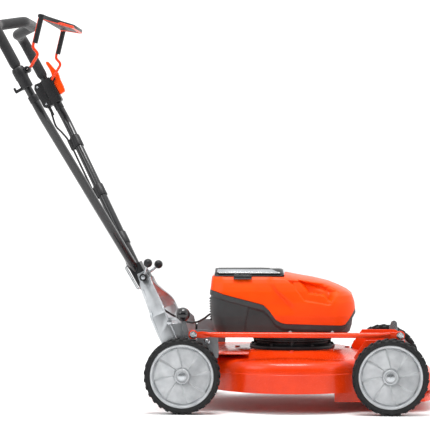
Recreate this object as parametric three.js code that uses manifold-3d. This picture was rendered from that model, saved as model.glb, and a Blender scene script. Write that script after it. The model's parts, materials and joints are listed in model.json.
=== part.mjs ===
// A cordless walk-behind mulching mower: pressed steel deck, direct-drive motor, single-lever
// height adjustment through a link bar, and a folding tubular handle with a dead-man's bail.
// Millimetres. X forward, Y to the machine's left, Z up. The rear axle stands over x = 0 while
// the parts are laid out; the finished group is centred on its footprint at the end.
import * as THREE from 'three';
import { mergeVertices } from 'three/addons/utils/BufferGeometryUtils.js';
import Module from 'manifold-3d';

const wasm = await Module();
wasm.setup();

// ---------------------------------------------------------------- driving dimensions
const fit = 0.3;                // gap between pieces that touch
const wheelBase = 572;
const track = 499;              // between the middles of the left and right tyres
const tyreRadius = 105;
const tyreWidth = 45;
const tyreDepth = 16.5;         // tread to rim
const wheelSides = 24;
const hubFace = 14;             // outer face of the hub beyond the wheel's middle
const hubBore = 6.3;
const spindleRadius = 6;

const deckX = 300;              // middle of the bowl ahead of the rear axle
const deckRadius = 260;
const deckWall = 2.5;
const deckBottom = 57;
const deckTop = 164;
const apronFront = 700;
const apronTop = 106;
const rearPlateTop = 161;
const rearPlateBack = -46;
const deckHalfWidth = 184;      // of the deck's flat rear part
const bowlSides = 32;

// The plates that stand beside each other at the deck's sides, inner and outer faces.
const anglePlateY = [184.5, 188];
const rearBracketY = [188.5, 192.5];
const frontBracketY = [186, 190];
const bracketBoltRadius = 4;

const crankX = 28;              // crank pivot ahead of its wheel axle
const crankZ = 140;             // crank pivot above the ground
const crankArm = 75.5;          // pivot up to the link pin
const crankRodRadius = 8;
const crankPlateInner = 200;    // layers outward from the centre line, on both sides
const crankPlateOuter = 206;
const linkY = 210.5;
const linkRadius = 7.5;
const linkBoltRadius = 4;
const leverThickness = 5;
const knobX = -1.5;
const knobZ = 270.5;
const knobRadius = 19.7;

const housingBottom = 208;
const housingWall = 3;
const housingHalfWidth = 140;
const lidSeat = 371;
const lidTop = 395;
const lidFront = 278;
const lidHalfWidth = 100;
const lidHingeY = lidHalfWidth + 4;
const lidHingeZ = lidSeat + 6;

const motorRadius = 105;
const motorFlangeRadius = motorRadius + 17;
const motorTop = 205;
const shaftRadius = 10;
const bladeLength = 480;
const bladeWidth = 50;
const bladeThickness = 4;
const bladeZ = 76;

const handleLean = THREE.MathUtils.degToRad(28.4);
const foldX = -126;             // fold pivot
const foldZ = 366;
const tiltX = -28;              // handle-angle pivot, low on the brackets
const tiltZ = 167;
const tiltSlotRadius = 82;
const tiltBoltRest = THREE.MathUtils.degToRad(98);   // from +X towards +Z, seen from the right
const tiltTravel = THREE.MathUtils.degToRad(12);
const tiltBoltRadius = 4;
const foldBoltRadius = 6;
const bracketTopY = 42;
const bracketThickness = 3.5;
const legRadius = 12.7;
const upperTubeRadius = 11;
const foamRadius = 15;
const tubeOffset = -11.5;       // tube axis behind the fold pivot
const legFoot = 17;
const legFootY = 20;
const gripHalfWidth = 247;
const legBend = 523;            // distances along the handle from the fold pivot
const legTop = 584;
const foamStart = 675;
const handleTop = 816;
const humpReach = 62;
const humpDrop = 14;
const humpHalf = 80;
const bailPivotX = 12;
const bailPivotU = 657;
const bailRadius = 4;
const bailY = 225;
const bailFoot = [56, 712];     // where each leg straightens, as handle x and z
const bailHead = [109, 771];    // the crossbar
const bailHump = 76;
const bailHumpHalf = 95;
const boxInner = bailY + bailRadius + 1.5;           // the switch box's two side faces
const boxOuter = 272;
const boxStart = 588;
const boxEnd = 668;
const boxSeam = -26;            // behind the fold pivot
const startPivotX = 16;
const startPivotU = 655;
const startPinRadius = 2.5;
const cableRadius = 3;
const cableBehind = tubeOffset - legRadius - 7.3;
const blockBehind = tubeOffset - legRadius - 1.8;    // rear face of the fold block
const clipPlaces = [127, 286, 453];
const clipHalf = 18;

// ---------------------------------------------------------------- materials
const finish = (color, roughness, metalness) =>
  new THREE.MeshStandardMaterial({ color, roughness, metalness });
const orangePaint = finish(0xe8481a, 0.35, 0.1);
const orangePlastic = finish(0xff5a14, 0.45, 0);
const greyPlastic = finish(0x4a4b4c, 0.6, 0);
const blackPlastic = finish(0x1d1d1e, 0.5, 0);
const blackPaint = finish(0x26272a, 0.3, 0.3);
const greyPaint = finish(0x7d8080, 0.45, 0.3);
const zinc = finish(0xc9cccf, 0.3, 0.9);
const steel = finish(0x9a9da0, 0.35, 0.9);
const foam = finish(0x202021, 0.9, 0);
const rubber = finish(0x232324, 0.85, 0);
const rimPlastic = finish(0xb7b9bb, 0.4, 0.4);

// ---------------------------------------------------------------- shape helpers
const mower = new THREE.Group();

function addMesh(parent, name, geometry, material) {
  const mesh = new THREE.Mesh(geometry, material);
  mesh.name = name;
  parent.add(mesh);
  return mesh;
}

// A closed geometry as a manifold solid, and back again.
function solid(geometry) {
  const bare = geometry.clone();
  for (const name of Object.keys(bare.attributes)) if (name !== 'position') bare.deleteAttribute(name);
  const welded = mergeVertices(bare, 1e-4);
  return new wasm.Manifold(new wasm.Mesh({
    numProp: 3,
    vertProperties: new Float32Array(welded.attributes.position.array),
    triVerts: new Uint32Array(welded.index.array),
  }));
}

function geometryOf(manifold) {
  const mesh = manifold.getMesh();
  const geometry = new THREE.BufferGeometry();
  geometry.setAttribute('position', new THREE.BufferAttribute(mesh.vertProperties, 3));
  geometry.setIndex(new THREE.BufferAttribute(mesh.triVerts, 1));
  geometry.computeVertexNormals();
  return geometry;
}

const join = (...geometries) =>
  geometryOf(geometries.map(solid).reduce((whole, piece) => whole.add(piece)));
const cut = (body, ...tools) =>
  geometryOf(tools.map(solid).reduce((whole, tool) => whole.subtract(tool), solid(body)));
const common = (a, b) => geometryOf(solid(a).intersect(solid(b)));

function box(x0, x1, y0, y1, z0, z1) {
  const geometry = new THREE.BoxGeometry(x1 - x0, y1 - y0, z1 - z0);
  return geometry.translate((x0 + x1) / 2, (y0 + y1) / 2, (z0 + z1) / 2);
}

// A rod along Y, or along Z, with flats of equal width.
function rodY(x, z, y0, y1, radius, sides = 12) {
  return new THREE.CylinderGeometry(radius, radius, y1 - y0, sides).translate(x, (y0 + y1) / 2, z);
}

function rodZ(x, y, z0, z1, radius, sides = 24) {
  const geometry = new THREE.CylinderGeometry(radius, radius, z1 - z0, sides).rotateX(Math.PI / 2);
  return geometry.translate(x, y, (z0 + z1) / 2);
}

// A flat outline in X and Z, given thickness between two Y values.
function plateY(shape, y0, y1, curveSegments = 6) {
  const geometry = new THREE.ExtrudeGeometry(shape, { depth: y1 - y0, bevelEnabled: false, curveSegments });
  return geometry.rotateX(Math.PI / 2).translate(0, y1, 0);
}

// A flat outline in X and Y, given thickness between two Z values.
function plateZ(shape, z0, z1, curveSegments = 6) {
  const geometry = new THREE.ExtrudeGeometry(shape, { depth: z1 - z0, bevelEnabled: false, curveSegments });
  return geometry.translate(0, 0, z0);
}

const polygon = (points) => new THREE.Shape(points.map(([x, y]) => new THREE.Vector2(x, y)));

// The outline around a row of circles, each [x, z, radius], taken in order round a convex chain.
function aroundCircles(circles, steps = 24) {
  const points = [];
  for (let i = 0; i < steps; i++) {
    const angle = (i / steps) * 2 * Math.PI;
    const [c, s] = [Math.cos(angle), Math.sin(angle)];
    const far = circles.reduce((a, b) => (b[0] * c + b[1] * s + b[2] > a[0] * c + a[1] * s + a[2] ? b : a));
    points.push([far[0] + far[2] * c, far[1] + far[2] * s]);
  }
  return polygon(points);
}

// A regular outline by its corner radius.
function aroundCorners(x, y, radius, sides) {
  const points = [];
  for (let i = 0; i < sides; i++) {
    const angle = (i / sides) * 2 * Math.PI;
    points.push([x + radius * Math.cos(angle), y + radius * Math.sin(angle)]);
  }
  return polygon(points);
}

// A hole whose flats clear a rod of the given radius.
function circleHole(x, y, radius, sides = 12) {
  const reach = radius / Math.cos(Math.PI / sides);
  const points = [];
  for (let i = 0; i < sides; i++) {
    const angle = (-i / sides) * 2 * Math.PI;
    points.push(new THREE.Vector2(x + reach * Math.cos(angle), y + reach * Math.sin(angle)));
  }
  return new THREE.Path(points);
}

// A solid turned about the Z axis from [radius, z] points that run up the outside.
function turned(points, segments, x = 0, y = 0) {
  const profile = points.map(([r, z]) => new THREE.Vector2(r, z));
  return new THREE.LatheGeometry(profile, segments).rotateX(Math.PI / 2).translate(x, y, 0);
}

// Rings of equally many points joined in order, with both ends closed.
function loft(rings) {
  const count = rings[0].length;
  const last = (rings.length - 1) * count;
  const index = [];
  for (let r = 0; r < rings.length - 1; r++) {
    for (let i = 0; i < count; i++) {
      const [a, b] = [r * count + i, r * count + ((i + 1) % count)];
      index.push(a, b, b + count, a, b + count, a + count);
    }
  }
  for (let i = 1; i < count - 1; i++) index.push(0, i + 1, i, last, last + i, last + i + 1);
  const points = rings.flat().map((p) => new THREE.Vector3(...p));
  let volume = 0;
  for (let i = 0; i < index.length; i += 3) {
    volume += points[index[i]].dot(points[index[i + 1]].clone().cross(points[index[i + 2]]));
  }
  const geometry = new THREE.BufferGeometry();
  geometry.setAttribute('position', new THREE.Float32BufferAttribute(rings.flat(2), 3));
  geometry.setIndex(volume < 0 ? index.reverse() : index);
  return geometry;
}

// A flat strip that follows a path: each section is [x, y, z, half width], its width square to Y.
function strip(sections, thickness) {
  const points = sections.map(([x, y, z]) => new THREE.Vector3(x, y, z));
  const across = new THREE.Vector3(0, 1, 0);
  return loft(points.map((p, i) => {
    const ahead = points[Math.min(i + 1, points.length - 1)];
    const along = ahead.clone().sub(points[Math.max(i - 1, 0)]).normalize();
    const width = along.clone().cross(across).normalize().multiplyScalar(sections[i][3]);
    const face = width.clone().cross(along).normalize().multiplyScalar(thickness / 2);
    return [[1, 1], [-1, 1], [-1, -1], [1, -1]].map(([w, f]) =>
      p.clone().addScaledVector(width, w).addScaledVector(face, f).toArray());
  }));
}

// A bar's centre line: straight runs between corners, each corner rounded to its own radius.
class BentBar extends THREE.Curve {
  constructor(corners, radius, arcSteps = 4) {
    super();
    const points = corners.map((p) => new THREE.Vector3(...p));
    this.knots = [points[0]];
    for (let i = 1; i < points.length - 1; i++) {
      const back = points[i - 1].clone().sub(points[i]).normalize();
      const ahead = points[i + 1].clone().sub(points[i]).normalize();
      const half = back.angleTo(ahead) / 2;
      const reach = Math.min(radius / Math.tan(half),
        points[i].distanceTo(points[i - 1]) * 0.48, points[i].distanceTo(points[i + 1]) * 0.48);
      const start = points[i].clone().addScaledVector(back, reach);
      const end = points[i].clone().addScaledVector(ahead, reach);
      const arc = new THREE.QuadraticBezierCurve3(start, points[i], end);
      this.knots.push(...arc.getPoints(arcSteps));
    }
    this.knots.push(points[points.length - 1]);
  }

  getPoint(t) {
    const place = Math.min(Math.max(t, 0), 1) * (this.knots.length - 1);
    const i = Math.min(Math.floor(place), this.knots.length - 2);
    return this.knots[i].clone().lerp(this.knots[i + 1], place - i);
  }

  getPointAt(u) {
    return this.getPoint(u);
  }

  getTangentAt(u) {
    const i = Math.round(u * (this.knots.length - 1));
    const before = this.knots[Math.max(i - 1, 0)];
    const here = this.knots[i];
    const after = this.knots[Math.min(i + 1, this.knots.length - 1)];
    const inward = here.clone().sub(before).normalize();
    const outward = after.clone().sub(here).normalize();
    return inward.add(outward).normalize();
  }
}

// A round bar, or a tube when it has a bore, along a bent centre line.
function bentRod(bar, radius, sides, bore = 0) {
  const section = new THREE.Shape();
  for (let i = 0; i < sides; i++) {
    const angle = (i / sides) * 2 * Math.PI;
    const point = [radius * Math.cos(angle), radius * Math.sin(angle)];
    if (i === 0) section.moveTo(...point);
    else section.lineTo(...point);
  }
  if (bore) {
    const hole = new THREE.Path();
    for (let i = 0; i < sides; i++) {
      const angle = (-i / sides) * 2 * Math.PI;
      const point = [bore * Math.cos(angle), bore * Math.sin(angle)];
      if (i === 0) hole.moveTo(...point);
      else hole.lineTo(...point);
    }
    section.holes.push(hole);
  }
  return new THREE.ExtrudeGeometry(section, { steps: bar.knots.length - 1, extrudePath: bar });
}

const bothSides = [['r', -1], ['l', 1]];   // machine's right is -Y

// A span across Y given for the left side, turned over for the right.
const spanY = (sign, [inner, outer]) => (sign > 0 ? [inner, outer] : [-outer, -inner]);

// ---------------------------------------------------------------- deck
// The bowl's section from the skirt's lip to the crown; inset moves it inward by a wall.
function bowlSection(inset) {
  const radius = deckRadius - inset;
  const top = deckTop - inset;
  const section = new THREE.Path();
  section.moveTo(radius, deckBottom);
  section.lineTo(radius, top - 68);
  section.quadraticCurveTo(radius - 1, top - 28, radius - 38, top - 18);
  section.quadraticCurveTo(radius - 80, top - 10, radius - 98, top);
  return section.getPoints(4).map((p) => [p.x, p.y]);
}

function buildDeck() {
  const below = 20;
  const outer = turned([[0, deckBottom], ...bowlSection(0), [0, deckTop]], bowlSides, deckX);
  const inner = turned([[0, deckBottom - below], [deckRadius - deckWall, deckBottom - below],
    ...bowlSection(deckWall), [0, deckTop - deckWall]], bowlSides, deckX);
  const apron = (inset) => {
    const [half, front] = [182 - inset, apronFront - inset];
    const outline = new THREE.Shape();
    outline.moveTo(deckX + 120, -half);
    outline.lineTo(front - 74, -half + 4);
    outline.quadraticCurveTo(front, -half + 16, front, 0);
    outline.quadraticCurveTo(front, half - 16, front - 74, half - 4);
    outline.lineTo(deckX + 120, half);
    return outline;
  };
  const apronBody = plateZ(apron(0), deckBottom, apronTop, 8);
  const apronRoom = plateZ(apron(deckWall), deckBottom - below, apronTop - deckWall, 8);
  const half = deckHalfWidth;
  const rearPlate = box(rearPlateBack, deckX - 120, -half, half, rearPlateTop - deckWall, rearPlateTop);
  const rearFlap = box(rearPlateBack, rearPlateBack + deckWall, -half, half, 78, rearPlateTop);
  const hollowApron = cut(apronBody, apronRoom);
  const shell = cut(join(outer, hollowApron, rearPlate, rearFlap), inner,
    rodZ(deckX, 0, deckTop - 20, deckTop + 5, 26, 16));
  addMesh(mower, 'deck_shell', shell, orangePaint);
}

function buildBrackets() {
  for (const [side, sign] of bothSides) {
    const bearing = crankRodRadius + fit;
    const rear = polygon([[14, 112], [96, 150], [98, 168], [95, 214], [82, 224], [60, 228.5], [38, 229],
      [18, 224], [14, 218]]);
    rear.holes.push(circleHole(crankX, crankZ, bearing), circleHole(65, 196, bracketBoltRadius));
    addMesh(mower, `rear_bracket_${side}`, plateY(rear, ...spanY(sign, rearBracketY)), greyPaint);
    const x = wheelBase + crankX;
    const front = polygon([[488, 118], [x + 34, 118], [x + 40, 150], [x + 20, 190], [x + 2, 200.5],
      [505, 200.5], [473, 153]]);
    front.holes.push(circleHole(x, crankZ, bearing), circleHole(520, 165, bracketBoltRadius));
    addMesh(mower, `front_bracket_${side}`, plateY(front, ...spanY(sign, frontBracketY)), orangePaint);
    const anglePlate = new THREE.Shape();
    anglePlate.moveTo(rearPlateBack, rearPlateTop - 18);
    anglePlate.lineTo(8, rearPlateTop - 18);
    anglePlate.lineTo(8, 220);
    anglePlate.lineTo(4, 238);
    anglePlate.lineTo(-22, 262);
    anglePlate.lineTo(-50, 262);
    anglePlate.lineTo(-56, 240);
    anglePlate.closePath();
    anglePlate.holes.push(circleHole(tiltX, tiltZ, 4.3), tiltSlot());
    addMesh(mower, `angle_plate_${side}`, plateY(anglePlate, ...spanY(sign, anglePlateY), 2), zinc);
  }
}

// The arc slot that the handle-angle bolt slides in.
function tiltSlot() {
  const width = tiltBoltRadius + fit;
  const [from, to] = [tiltBoltRest + 0.03, tiltBoltRest - tiltTravel - 0.03];
  const at = (radius, angle) => [tiltX + radius * Math.cos(angle), tiltZ + radius * Math.sin(angle)];
  const slot = new THREE.Path();
  slot.absarc(tiltX, tiltZ, tiltSlotRadius + width, to, from, false);
  slot.absarc(...at(tiltSlotRadius, from), width, from, from + Math.PI, false);
  slot.absarc(tiltX, tiltZ, tiltSlotRadius - width, from, to, true);
  slot.absarc(...at(tiltSlotRadius, to), width, to + Math.PI, to + 2 * Math.PI, false);
  return slot;
}

// ---------------------------------------------------------------- motor and blade
function buildMotor() {
  const boss = 26;
  const base = turned([[boss - 8, deckTop + fit], [motorFlangeRadius, deckTop + fit],
    [motorFlangeRadius, deckTop + 10], [motorFlangeRadius - 8, deckTop + 14],
    [motorRadius - 30, deckTop + 14], [motorRadius - 30, deckTop + 5], [boss - 8, deckTop + 5],
    [boss - 8, deckTop + fit]], 24, deckX);
  addMesh(mower, 'motor_base', base, blackPaint);
  const low = deckTop + 14 + fit;
  const bore = motorRadius - 25;
  const can = turned([[bore, low], [motorRadius, low], [motorRadius, low + 8], [motorRadius + 8, low + 10],
    [motorRadius + 8, motorTop - 5], [motorRadius, motorTop], [18, motorTop], [18, motorTop - 6],
    [bore, motorTop - 6], [bore, low]], 24, deckX);
  addMesh(mower, 'motor_can', can, blackPaint);
  const shaftFoot = bladeZ + 20;
  addMesh(mower, 'motor_shaft', rodZ(deckX, 0, shaftFoot, motorTop - 2, shaftRadius, 16), steel);
  const adapter = turned([[0, bladeZ + fit], [34, bladeZ + fit], [34, bladeZ + 6], [20, bladeZ + 14],
    [20, bladeZ + 34], [shaftRadius + 0.5 + fit, bladeZ + 34], [shaftRadius + 0.5 + fit, shaftFoot - fit],
    [0, shaftFoot - fit]], 16, deckX);
  addMesh(mower, 'blade_adapter', adapter, steel);
  const half = bladeLength / 2;
  const side = bladeWidth / 2;
  const outline = polygon([[deckX - half, -side + 12], [deckX - half + 40, -side], [deckX + half, -side],
    [deckX + half, side - 12], [deckX + half - 40, side], [deckX - half, side]]);
  const bottom = bladeZ - bladeThickness;
  const wing = polygon([[0, 0], [56, 0], [50, 16], [0, 20]]);
  const lift = (turn) => plateY(wing, -side, -side + 10).translate(half - 58, 0, bottom + 1)
    .rotateZ(turn).translate(deckX, 0, 0);
  const flat = plateZ(outline, bottom, bladeZ);
  addMesh(mower, 'blade', join(flat, lift(0), lift(Math.PI)), steel);
  const head = new THREE.CylinderGeometry(15, 15, 9, 6).rotateX(Math.PI / 2);
  addMesh(mower, 'blade_bolt', head.translate(deckX, 0, bottom - fit - 4.5), steel);
}

// ---------------------------------------------------------------- housing
// Plan outlines by height: [z, rear x, front x, half width, rear corner, front corner].
const housingSections = [
  [housingBottom, 88, 462, housingHalfWidth - 14, 40, 70],
  [216, 81, 472, housingHalfWidth - 9, 42, 72],
  [236, 73, 478, housingHalfWidth - 3, 44, 74],
  [262, 67, 481, housingHalfWidth, 45, 76],
  [300, 67, 477, housingHalfWidth, 45, 76],
  [318, 67, 471, housingHalfWidth - 2, 45, 78],
  [330, 68, 456, housingHalfWidth - 4, 45, 80],
  [342, 70, 432, housingHalfWidth - 8, 44, 82],
  [354, 71, 402, housingHalfWidth - 13, 42, 82],
  [364, 72, 360, housingHalfWidth - 19, 40, 80],
  [371, 73, 318, housingHalfWidth - 26, 38, 70],
  [377, 76, 286, housingHalfWidth - 36, 34, 50],
];

function housingRing([z, rear, front, half, rearCorner, frontCorner], inset) {
  const points = [];
  const corner = (cx, cy, radius, start) => {
    for (let i = 0; i <= 4; i++) {
      const angle = start + (i / 4) * (Math.PI / 2);
      points.push([cx + radius * Math.cos(angle), cy + radius * Math.sin(angle), z]);
    }
  };
  const [f, r] = [frontCorner, rearCorner].map((radius) => radius - inset);
  const [x0, x1, y] = [rear + inset, front - inset, half - inset];
  corner(x1 - f, y - f, f, 0);
  corner(x0 + r, y - r, r, Math.PI / 2);
  corner(x0 + r, -y + r, r, Math.PI);
  corner(x1 - f, -y + f, f, 1.5 * Math.PI);
  return points;
}

// The parting line between the grey tub and the orange cover, from the rear to the front.
const partingLine = [[40, 336], [70, 335], [86, 330], [108, 322], [205, 297], [220, 293], [238, 276],
  [255, 252], [270, 243], [284, 240], [440, 236], [450, 238], [464, 256], [480, 284], [510, 314]];

function buildHousing() {
  const whole = loft(housingSections.map((section) => housingRing(section, 0)));
  const room = loft(housingSections.map(([z, ...rest], i) => {
    const height = i === 0 ? z + housingWall : i === housingSections.length - 1 ? z - housingWall : z;
    return housingRing([height, ...rest], housingWall);
  }));
  const wide = 200;
  const seamGap = fit / 2;
  const below = plateY(polygon([[40, 150], [510, 150],
    ...partingLine.map(([x, z]) => [x, z - seamGap]).reverse()]), -wide, wide);
  const above = plateY(polygon([...partingLine.map(([x, z]) => [x, z + seamGap]), [510, 450], [40, 450]]),
    -wide, wide);
  const shell = cut(whole, room);
  const cableHole = new THREE.CylinderGeometry(5, 5, 30, 12).rotateZ(Math.PI / 2).translate(66, 60, 256);
  const shaftHole = rodZ(deckX, 0, housingBottom - 5, housingBottom + 8, 30);
  addMesh(mower, 'lower_housing', cut(common(shell, below), cableHole, shaftHole), greyPlastic);
  const bay = box(84, lidFront - 8, -lidHalfWidth + 8, lidHalfWidth - 8, 340, 420);
  const lidRecess = box(40, lidFront + fit, -wide, wide, lidSeat, 420);
  const pockets = bothSides.map(([, sign]) => {
    const outline = polygon([[300, 352], [330, 300], [408, 290], [428, 318], [410, 348]]);
    const [outside, inside] = [sign * wide, sign * (housingHalfWidth - 30)];
    return plateY(outline, Math.min(outside, inside), Math.max(outside, inside));
  });
  const pocketLiner = bothSides.map(([, sign]) => {
    const outline = polygon([[297, 355], [328, 297], [410, 286], [432, 318], [412, 352]]);
    const [outside, inside] = [sign * wide, sign * (housingHalfWidth - 33)];
    return common(plateY(outline, Math.min(outside, inside), Math.max(outside, inside)), whole);
  });
  const cover = cut(join(common(shell, above), ...pocketLiner), bay, lidRecess, ...pockets);
  addMesh(mower, 'top_cover', cover, orangePlastic);
}

function buildBattery() {
  const half = lidHalfWidth;
  const bottom = lidSeat + fit;
  const side = polygon([[80, bottom], [lidFront, bottom], [lidFront - 6, lidTop - 10],
    [lidFront - 34, lidTop], [92, lidTop], [80, lidTop - 12]]);
  const fingerTab = box(136, 187, -half - 16, -half + 2, bottom, bottom + 8);
  const knuckle = new THREE.CylinderGeometry(5, 5, 170, 12).rotateZ(Math.PI / 2)
    .translate(178, lidHingeY, lidHingeZ);
  const under = box(84, lidFront - 8, -half + 4, half - 4, 300, lidTop - 14);
  const lid = join(cut(plateY(side, -half, half), under), fingerTab, knuckle);
  addMesh(mower, 'battery_lid', lid, blackPlastic);
  addMesh(mower, 'battery_pack', box(96, 256, -74, 74, 262, 366), blackPlastic);
  const tray = join(box(90, 262, -82, 82, 232, 240), box(90, 262, -82, -76, 232, 300),
    box(90, 262, 76, 82, 232, 300));
  addMesh(mower, 'battery_rail', tray, greyPlastic);
  addMesh(mower, 'motor_controller', box(300, 420, -62, 62, 226, 262), zinc);
}

// ---------------------------------------------------------------- wheels and axles
const rimRadius = tyreRadius - tyreDepth;

function buildWheel(x, sign, name) {
  const wheel = new THREE.Group();
  wheel.position.set(x, sign * track / 2, tyreRadius);
  mower.add(wheel);
  const half = tyreWidth / 2;
  const tread = tyreRadius / Math.cos(Math.PI / wheelSides);   // the flats are tangent to the ground
  const seat = rimRadius + fit;
  const tyreSection = [[seat, -half + 3], [tread - 6, -half], [tread, -half + 9], [tread, half - 9],
    [tread - 6, half], [seat, half - 3], [seat, -half + 3]];
  const turnedY = (section, sides) =>
    new THREE.LatheGeometry(section.map(([r, y]) => new THREE.Vector2(r, y)), sides, Math.PI / sides);
  addMesh(wheel, `tyre_${name}`, turnedY(tyreSection, wheelSides), rubber);
  // The dish is deeper on the outside; the hub stands out towards the axle nut.
  const out = (y) => (sign > 0 ? y : -y);
  const dish = [[hubBore, hubFace], [18, hubFace], [21, 8], [rimRadius - 16.5, 5], [rimRadius - 11.5, 17],
    [rimRadius, 17], [rimRadius, -18], [rimRadius - 8.5, -18], [rimRadius - 14.5, -3], [26, -3], [22, -18],
    [hubBore, -18], [hubBore, hubFace]].map(([r, y]) => [r, out(y)]);
  if (sign > 0) dish.reverse();
  const spokes = [];
  for (let i = 0; i < 8; i++) {
    const rib = box(17, rimRadius - 13.5, -3, 3, -1.5, 1.5).translate(0, out(7), 0);
    spokes.push(rib.rotateY((i / 8) * 2 * Math.PI));
  }
  addMesh(wheel, `rim_${name}`, join(turnedY(dish, wheelSides), ...spokes), rimPlastic);
}

function buildWheels() {
  for (const [side, sign] of bothSides) {
    buildWheel(0, sign, `rear_${side}`);
    buildWheel(wheelBase, sign, `front_${side}`);
  }
}

// A bent axle: the rod between the bell-crank plates and a spindle out through each wheel.
function crankAxle(axleX) {
  const x = axleX + crankX;
  const pieces = [rodY(x, crankZ, -crankPlateInner - 3, crankPlateInner + 3, crankRodRadius)];
  const nutFace = track / 2 + hubFace + fit;
  const nut = aroundCorners(axleX, tyreRadius, 10, 6);
  for (const [, sign] of bothSides) {
    const plate = aroundCircles([[x, crankZ, 16], [axleX, tyreRadius, 13], [x, crankZ + crankArm, 10]]);
    pieces.push(plateY(plate, ...spanY(sign, [crankPlateInner, crankPlateOuter])));
    const root = crankPlateInner + 3;
    pieces.push(rodY(axleX, tyreRadius, ...spanY(sign, [root, nutFace + 1]), spindleRadius));
    pieces.push(plateY(nut, ...spanY(sign, [nutFace, nutFace + 7])));
    pieces.push(rodY(axleX, tyreRadius, ...spanY(sign, [root, track / 2 - 19]), spindleRadius + 4));
  }
  return join(...pieces);
}

function buildAxles() {
  const frontX = wheelBase;
  addMesh(mower, 'rear_axle', crankAxle(0), greyPaint);
  addMesh(mower, 'front_axle', crankAxle(frontX), greyPaint);
  const pinZ = crankZ + crankArm;
  for (const [name, x] of [['rear', crankX], ['front', frontX + crankX]]) {
    const eyeOut = linkY + 3;
    const shank = rodY(x, pinZ, -eyeOut - 3, -crankPlateOuter - fit, linkBoltRadius);
    const head = new THREE.CylinderGeometry(8, 8, 6, 6).translate(x, -eyeOut - 3 - fit, pinZ);
    addMesh(mower, `${name}_link_bolt`, join(shank, head), zinc);
  }
  // The link bar: a round bar flattened to an eye at each end.
  const [a, b] = [crankX, frontX + crankX];
  const eye = (x, dir) => {
    const outline = aroundCircles([[x, pinZ, 13], [x + dir * 18, pinZ, 11],
      [x + dir * 42, pinZ, linkRadius]]);
    outline.holes.push(circleHole(x, pinZ, linkBoltRadius + fit));
    return plateY(outline, -linkY - 3, -linkY + 3);
  };
  const rod = new THREE.CylinderGeometry(linkRadius, linkRadius, b - a - 76, 12).rotateZ(Math.PI / 2)
    .translate((a + b) / 2, -linkY, pinZ);
  addMesh(mower, 'link_bar', join(rod, eye(a, 1), eye(b, -1)), orangePaint);
}

// The height lever stands on the rear axle's right crank, inside the crank plate.
function buildHeightLever() {
  const y0 = -crankPlateInner + 1;
  const y1 = y0 + leverThickness;
  const arm = new THREE.Shape();
  const outline = [[crankX - 15, crankZ - 8], [crankX - 8, crankZ - 15], [crankX + 8, crankZ - 15],
    [crankX + 15, crankZ - 8], [crankX + 15, crankZ + 14],
    [crankX + 2, 190], [14, 225], [6, 252], [-6, 252], [-2, 222], [6, 186], [crankX - 15, crankZ + 14]];
  outline.forEach((p, i) => (i === 0 ? arm.moveTo(...p) : arm.lineTo(...p)));
  arm.holes.push(circleHole(crankX, crankZ, crankRodRadius + fit));
  addMesh(mower, 'height_lever', plateY(arm, y0, y1), greyPaint);
  const ball = new THREE.SphereGeometry(knobRadius, 16, 10).rotateX(Math.PI / 2)
    .translate(knobX, (y0 + y1) / 2, knobZ);
  const room = box(-30, 30, y0 - fit, y1 + fit, 200, 252 + fit);
  addMesh(mower, 'height_knob', cut(ball, room), blackPlastic);
}

// ---------------------------------------------------------------- handle brackets
function buildHandleBrackets() {
  const slotBoltX = tiltX + tiltSlotRadius * Math.cos(tiltBoltRest);
  const slotBoltZ = tiltZ + tiltSlotRadius * Math.sin(tiltBoltRest);
  const headRadius = 7.5;
  const shankRadius = tiltBoltRadius - 0.1;
  const inner = anglePlateY[0] - fit;
  const outer = rearBracketY[0] + bracketThickness + fit;
  const footY = rearBracketY[0] + bracketThickness / 2;
  for (const [side, sign] of bothSides) {
    const at = (x, y, z, half) => [x, sign * y, z, half];
    const plate = strip([at(-18, footY, 147, 19), at(-50, footY, 218, 21.5), at(-72, footY, 268, 21),
      at(-81, 166, 289, 20), at(-112, 62, 334, 17), at(-122, bracketTopY, 358, 16),
      at(-133, bracketTopY, 380, 13)], bracketThickness);
    const hole = (x, z, y, radius) => rodY(x, z, sign * y - 12, sign * y + 12, radius + fit);
    const holes = [hole(foldX, foldZ, bracketTopY, foldBoltRadius + 0.2),
      hole(tiltX, tiltZ, footY, tiltBoltRadius), hole(slotBoltX, slotBoltZ, footY, tiltBoltRadius)];
    addMesh(mower, `handle_bracket_${side}`, cut(plate, ...holes), zinc);
    const slotRod = (span, radius, sides) => rodY(slotBoltX, slotBoltZ, ...spanY(sign, span), radius, sides);
    const slotBolt = join(slotRod([inner - 1, outer + 1], shankRadius, 12),
      slotRod([outer, outer + 4], headRadius, 6), slotRod([inner - 5, inner], headRadius, 6));
    addMesh(mower, `tilt_bolt_${side}`, slotBolt, zinc);
  }
  const tiltRod = join(rodY(tiltX, tiltZ, -outer - 1, outer + 1, shankRadius),
    rodY(tiltX, tiltZ, -outer - 4, -outer, headRadius, 6),
    rodY(tiltX, tiltZ, outer, outer + 4, headRadius, 6));
  addMesh(mower, 'tilt_rod', tiltRod, zinc);
  addMesh(mower, 'fold_bolt', rodY(foldX, foldZ, -61, 61, foldBoltRadius), zinc);
}

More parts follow.
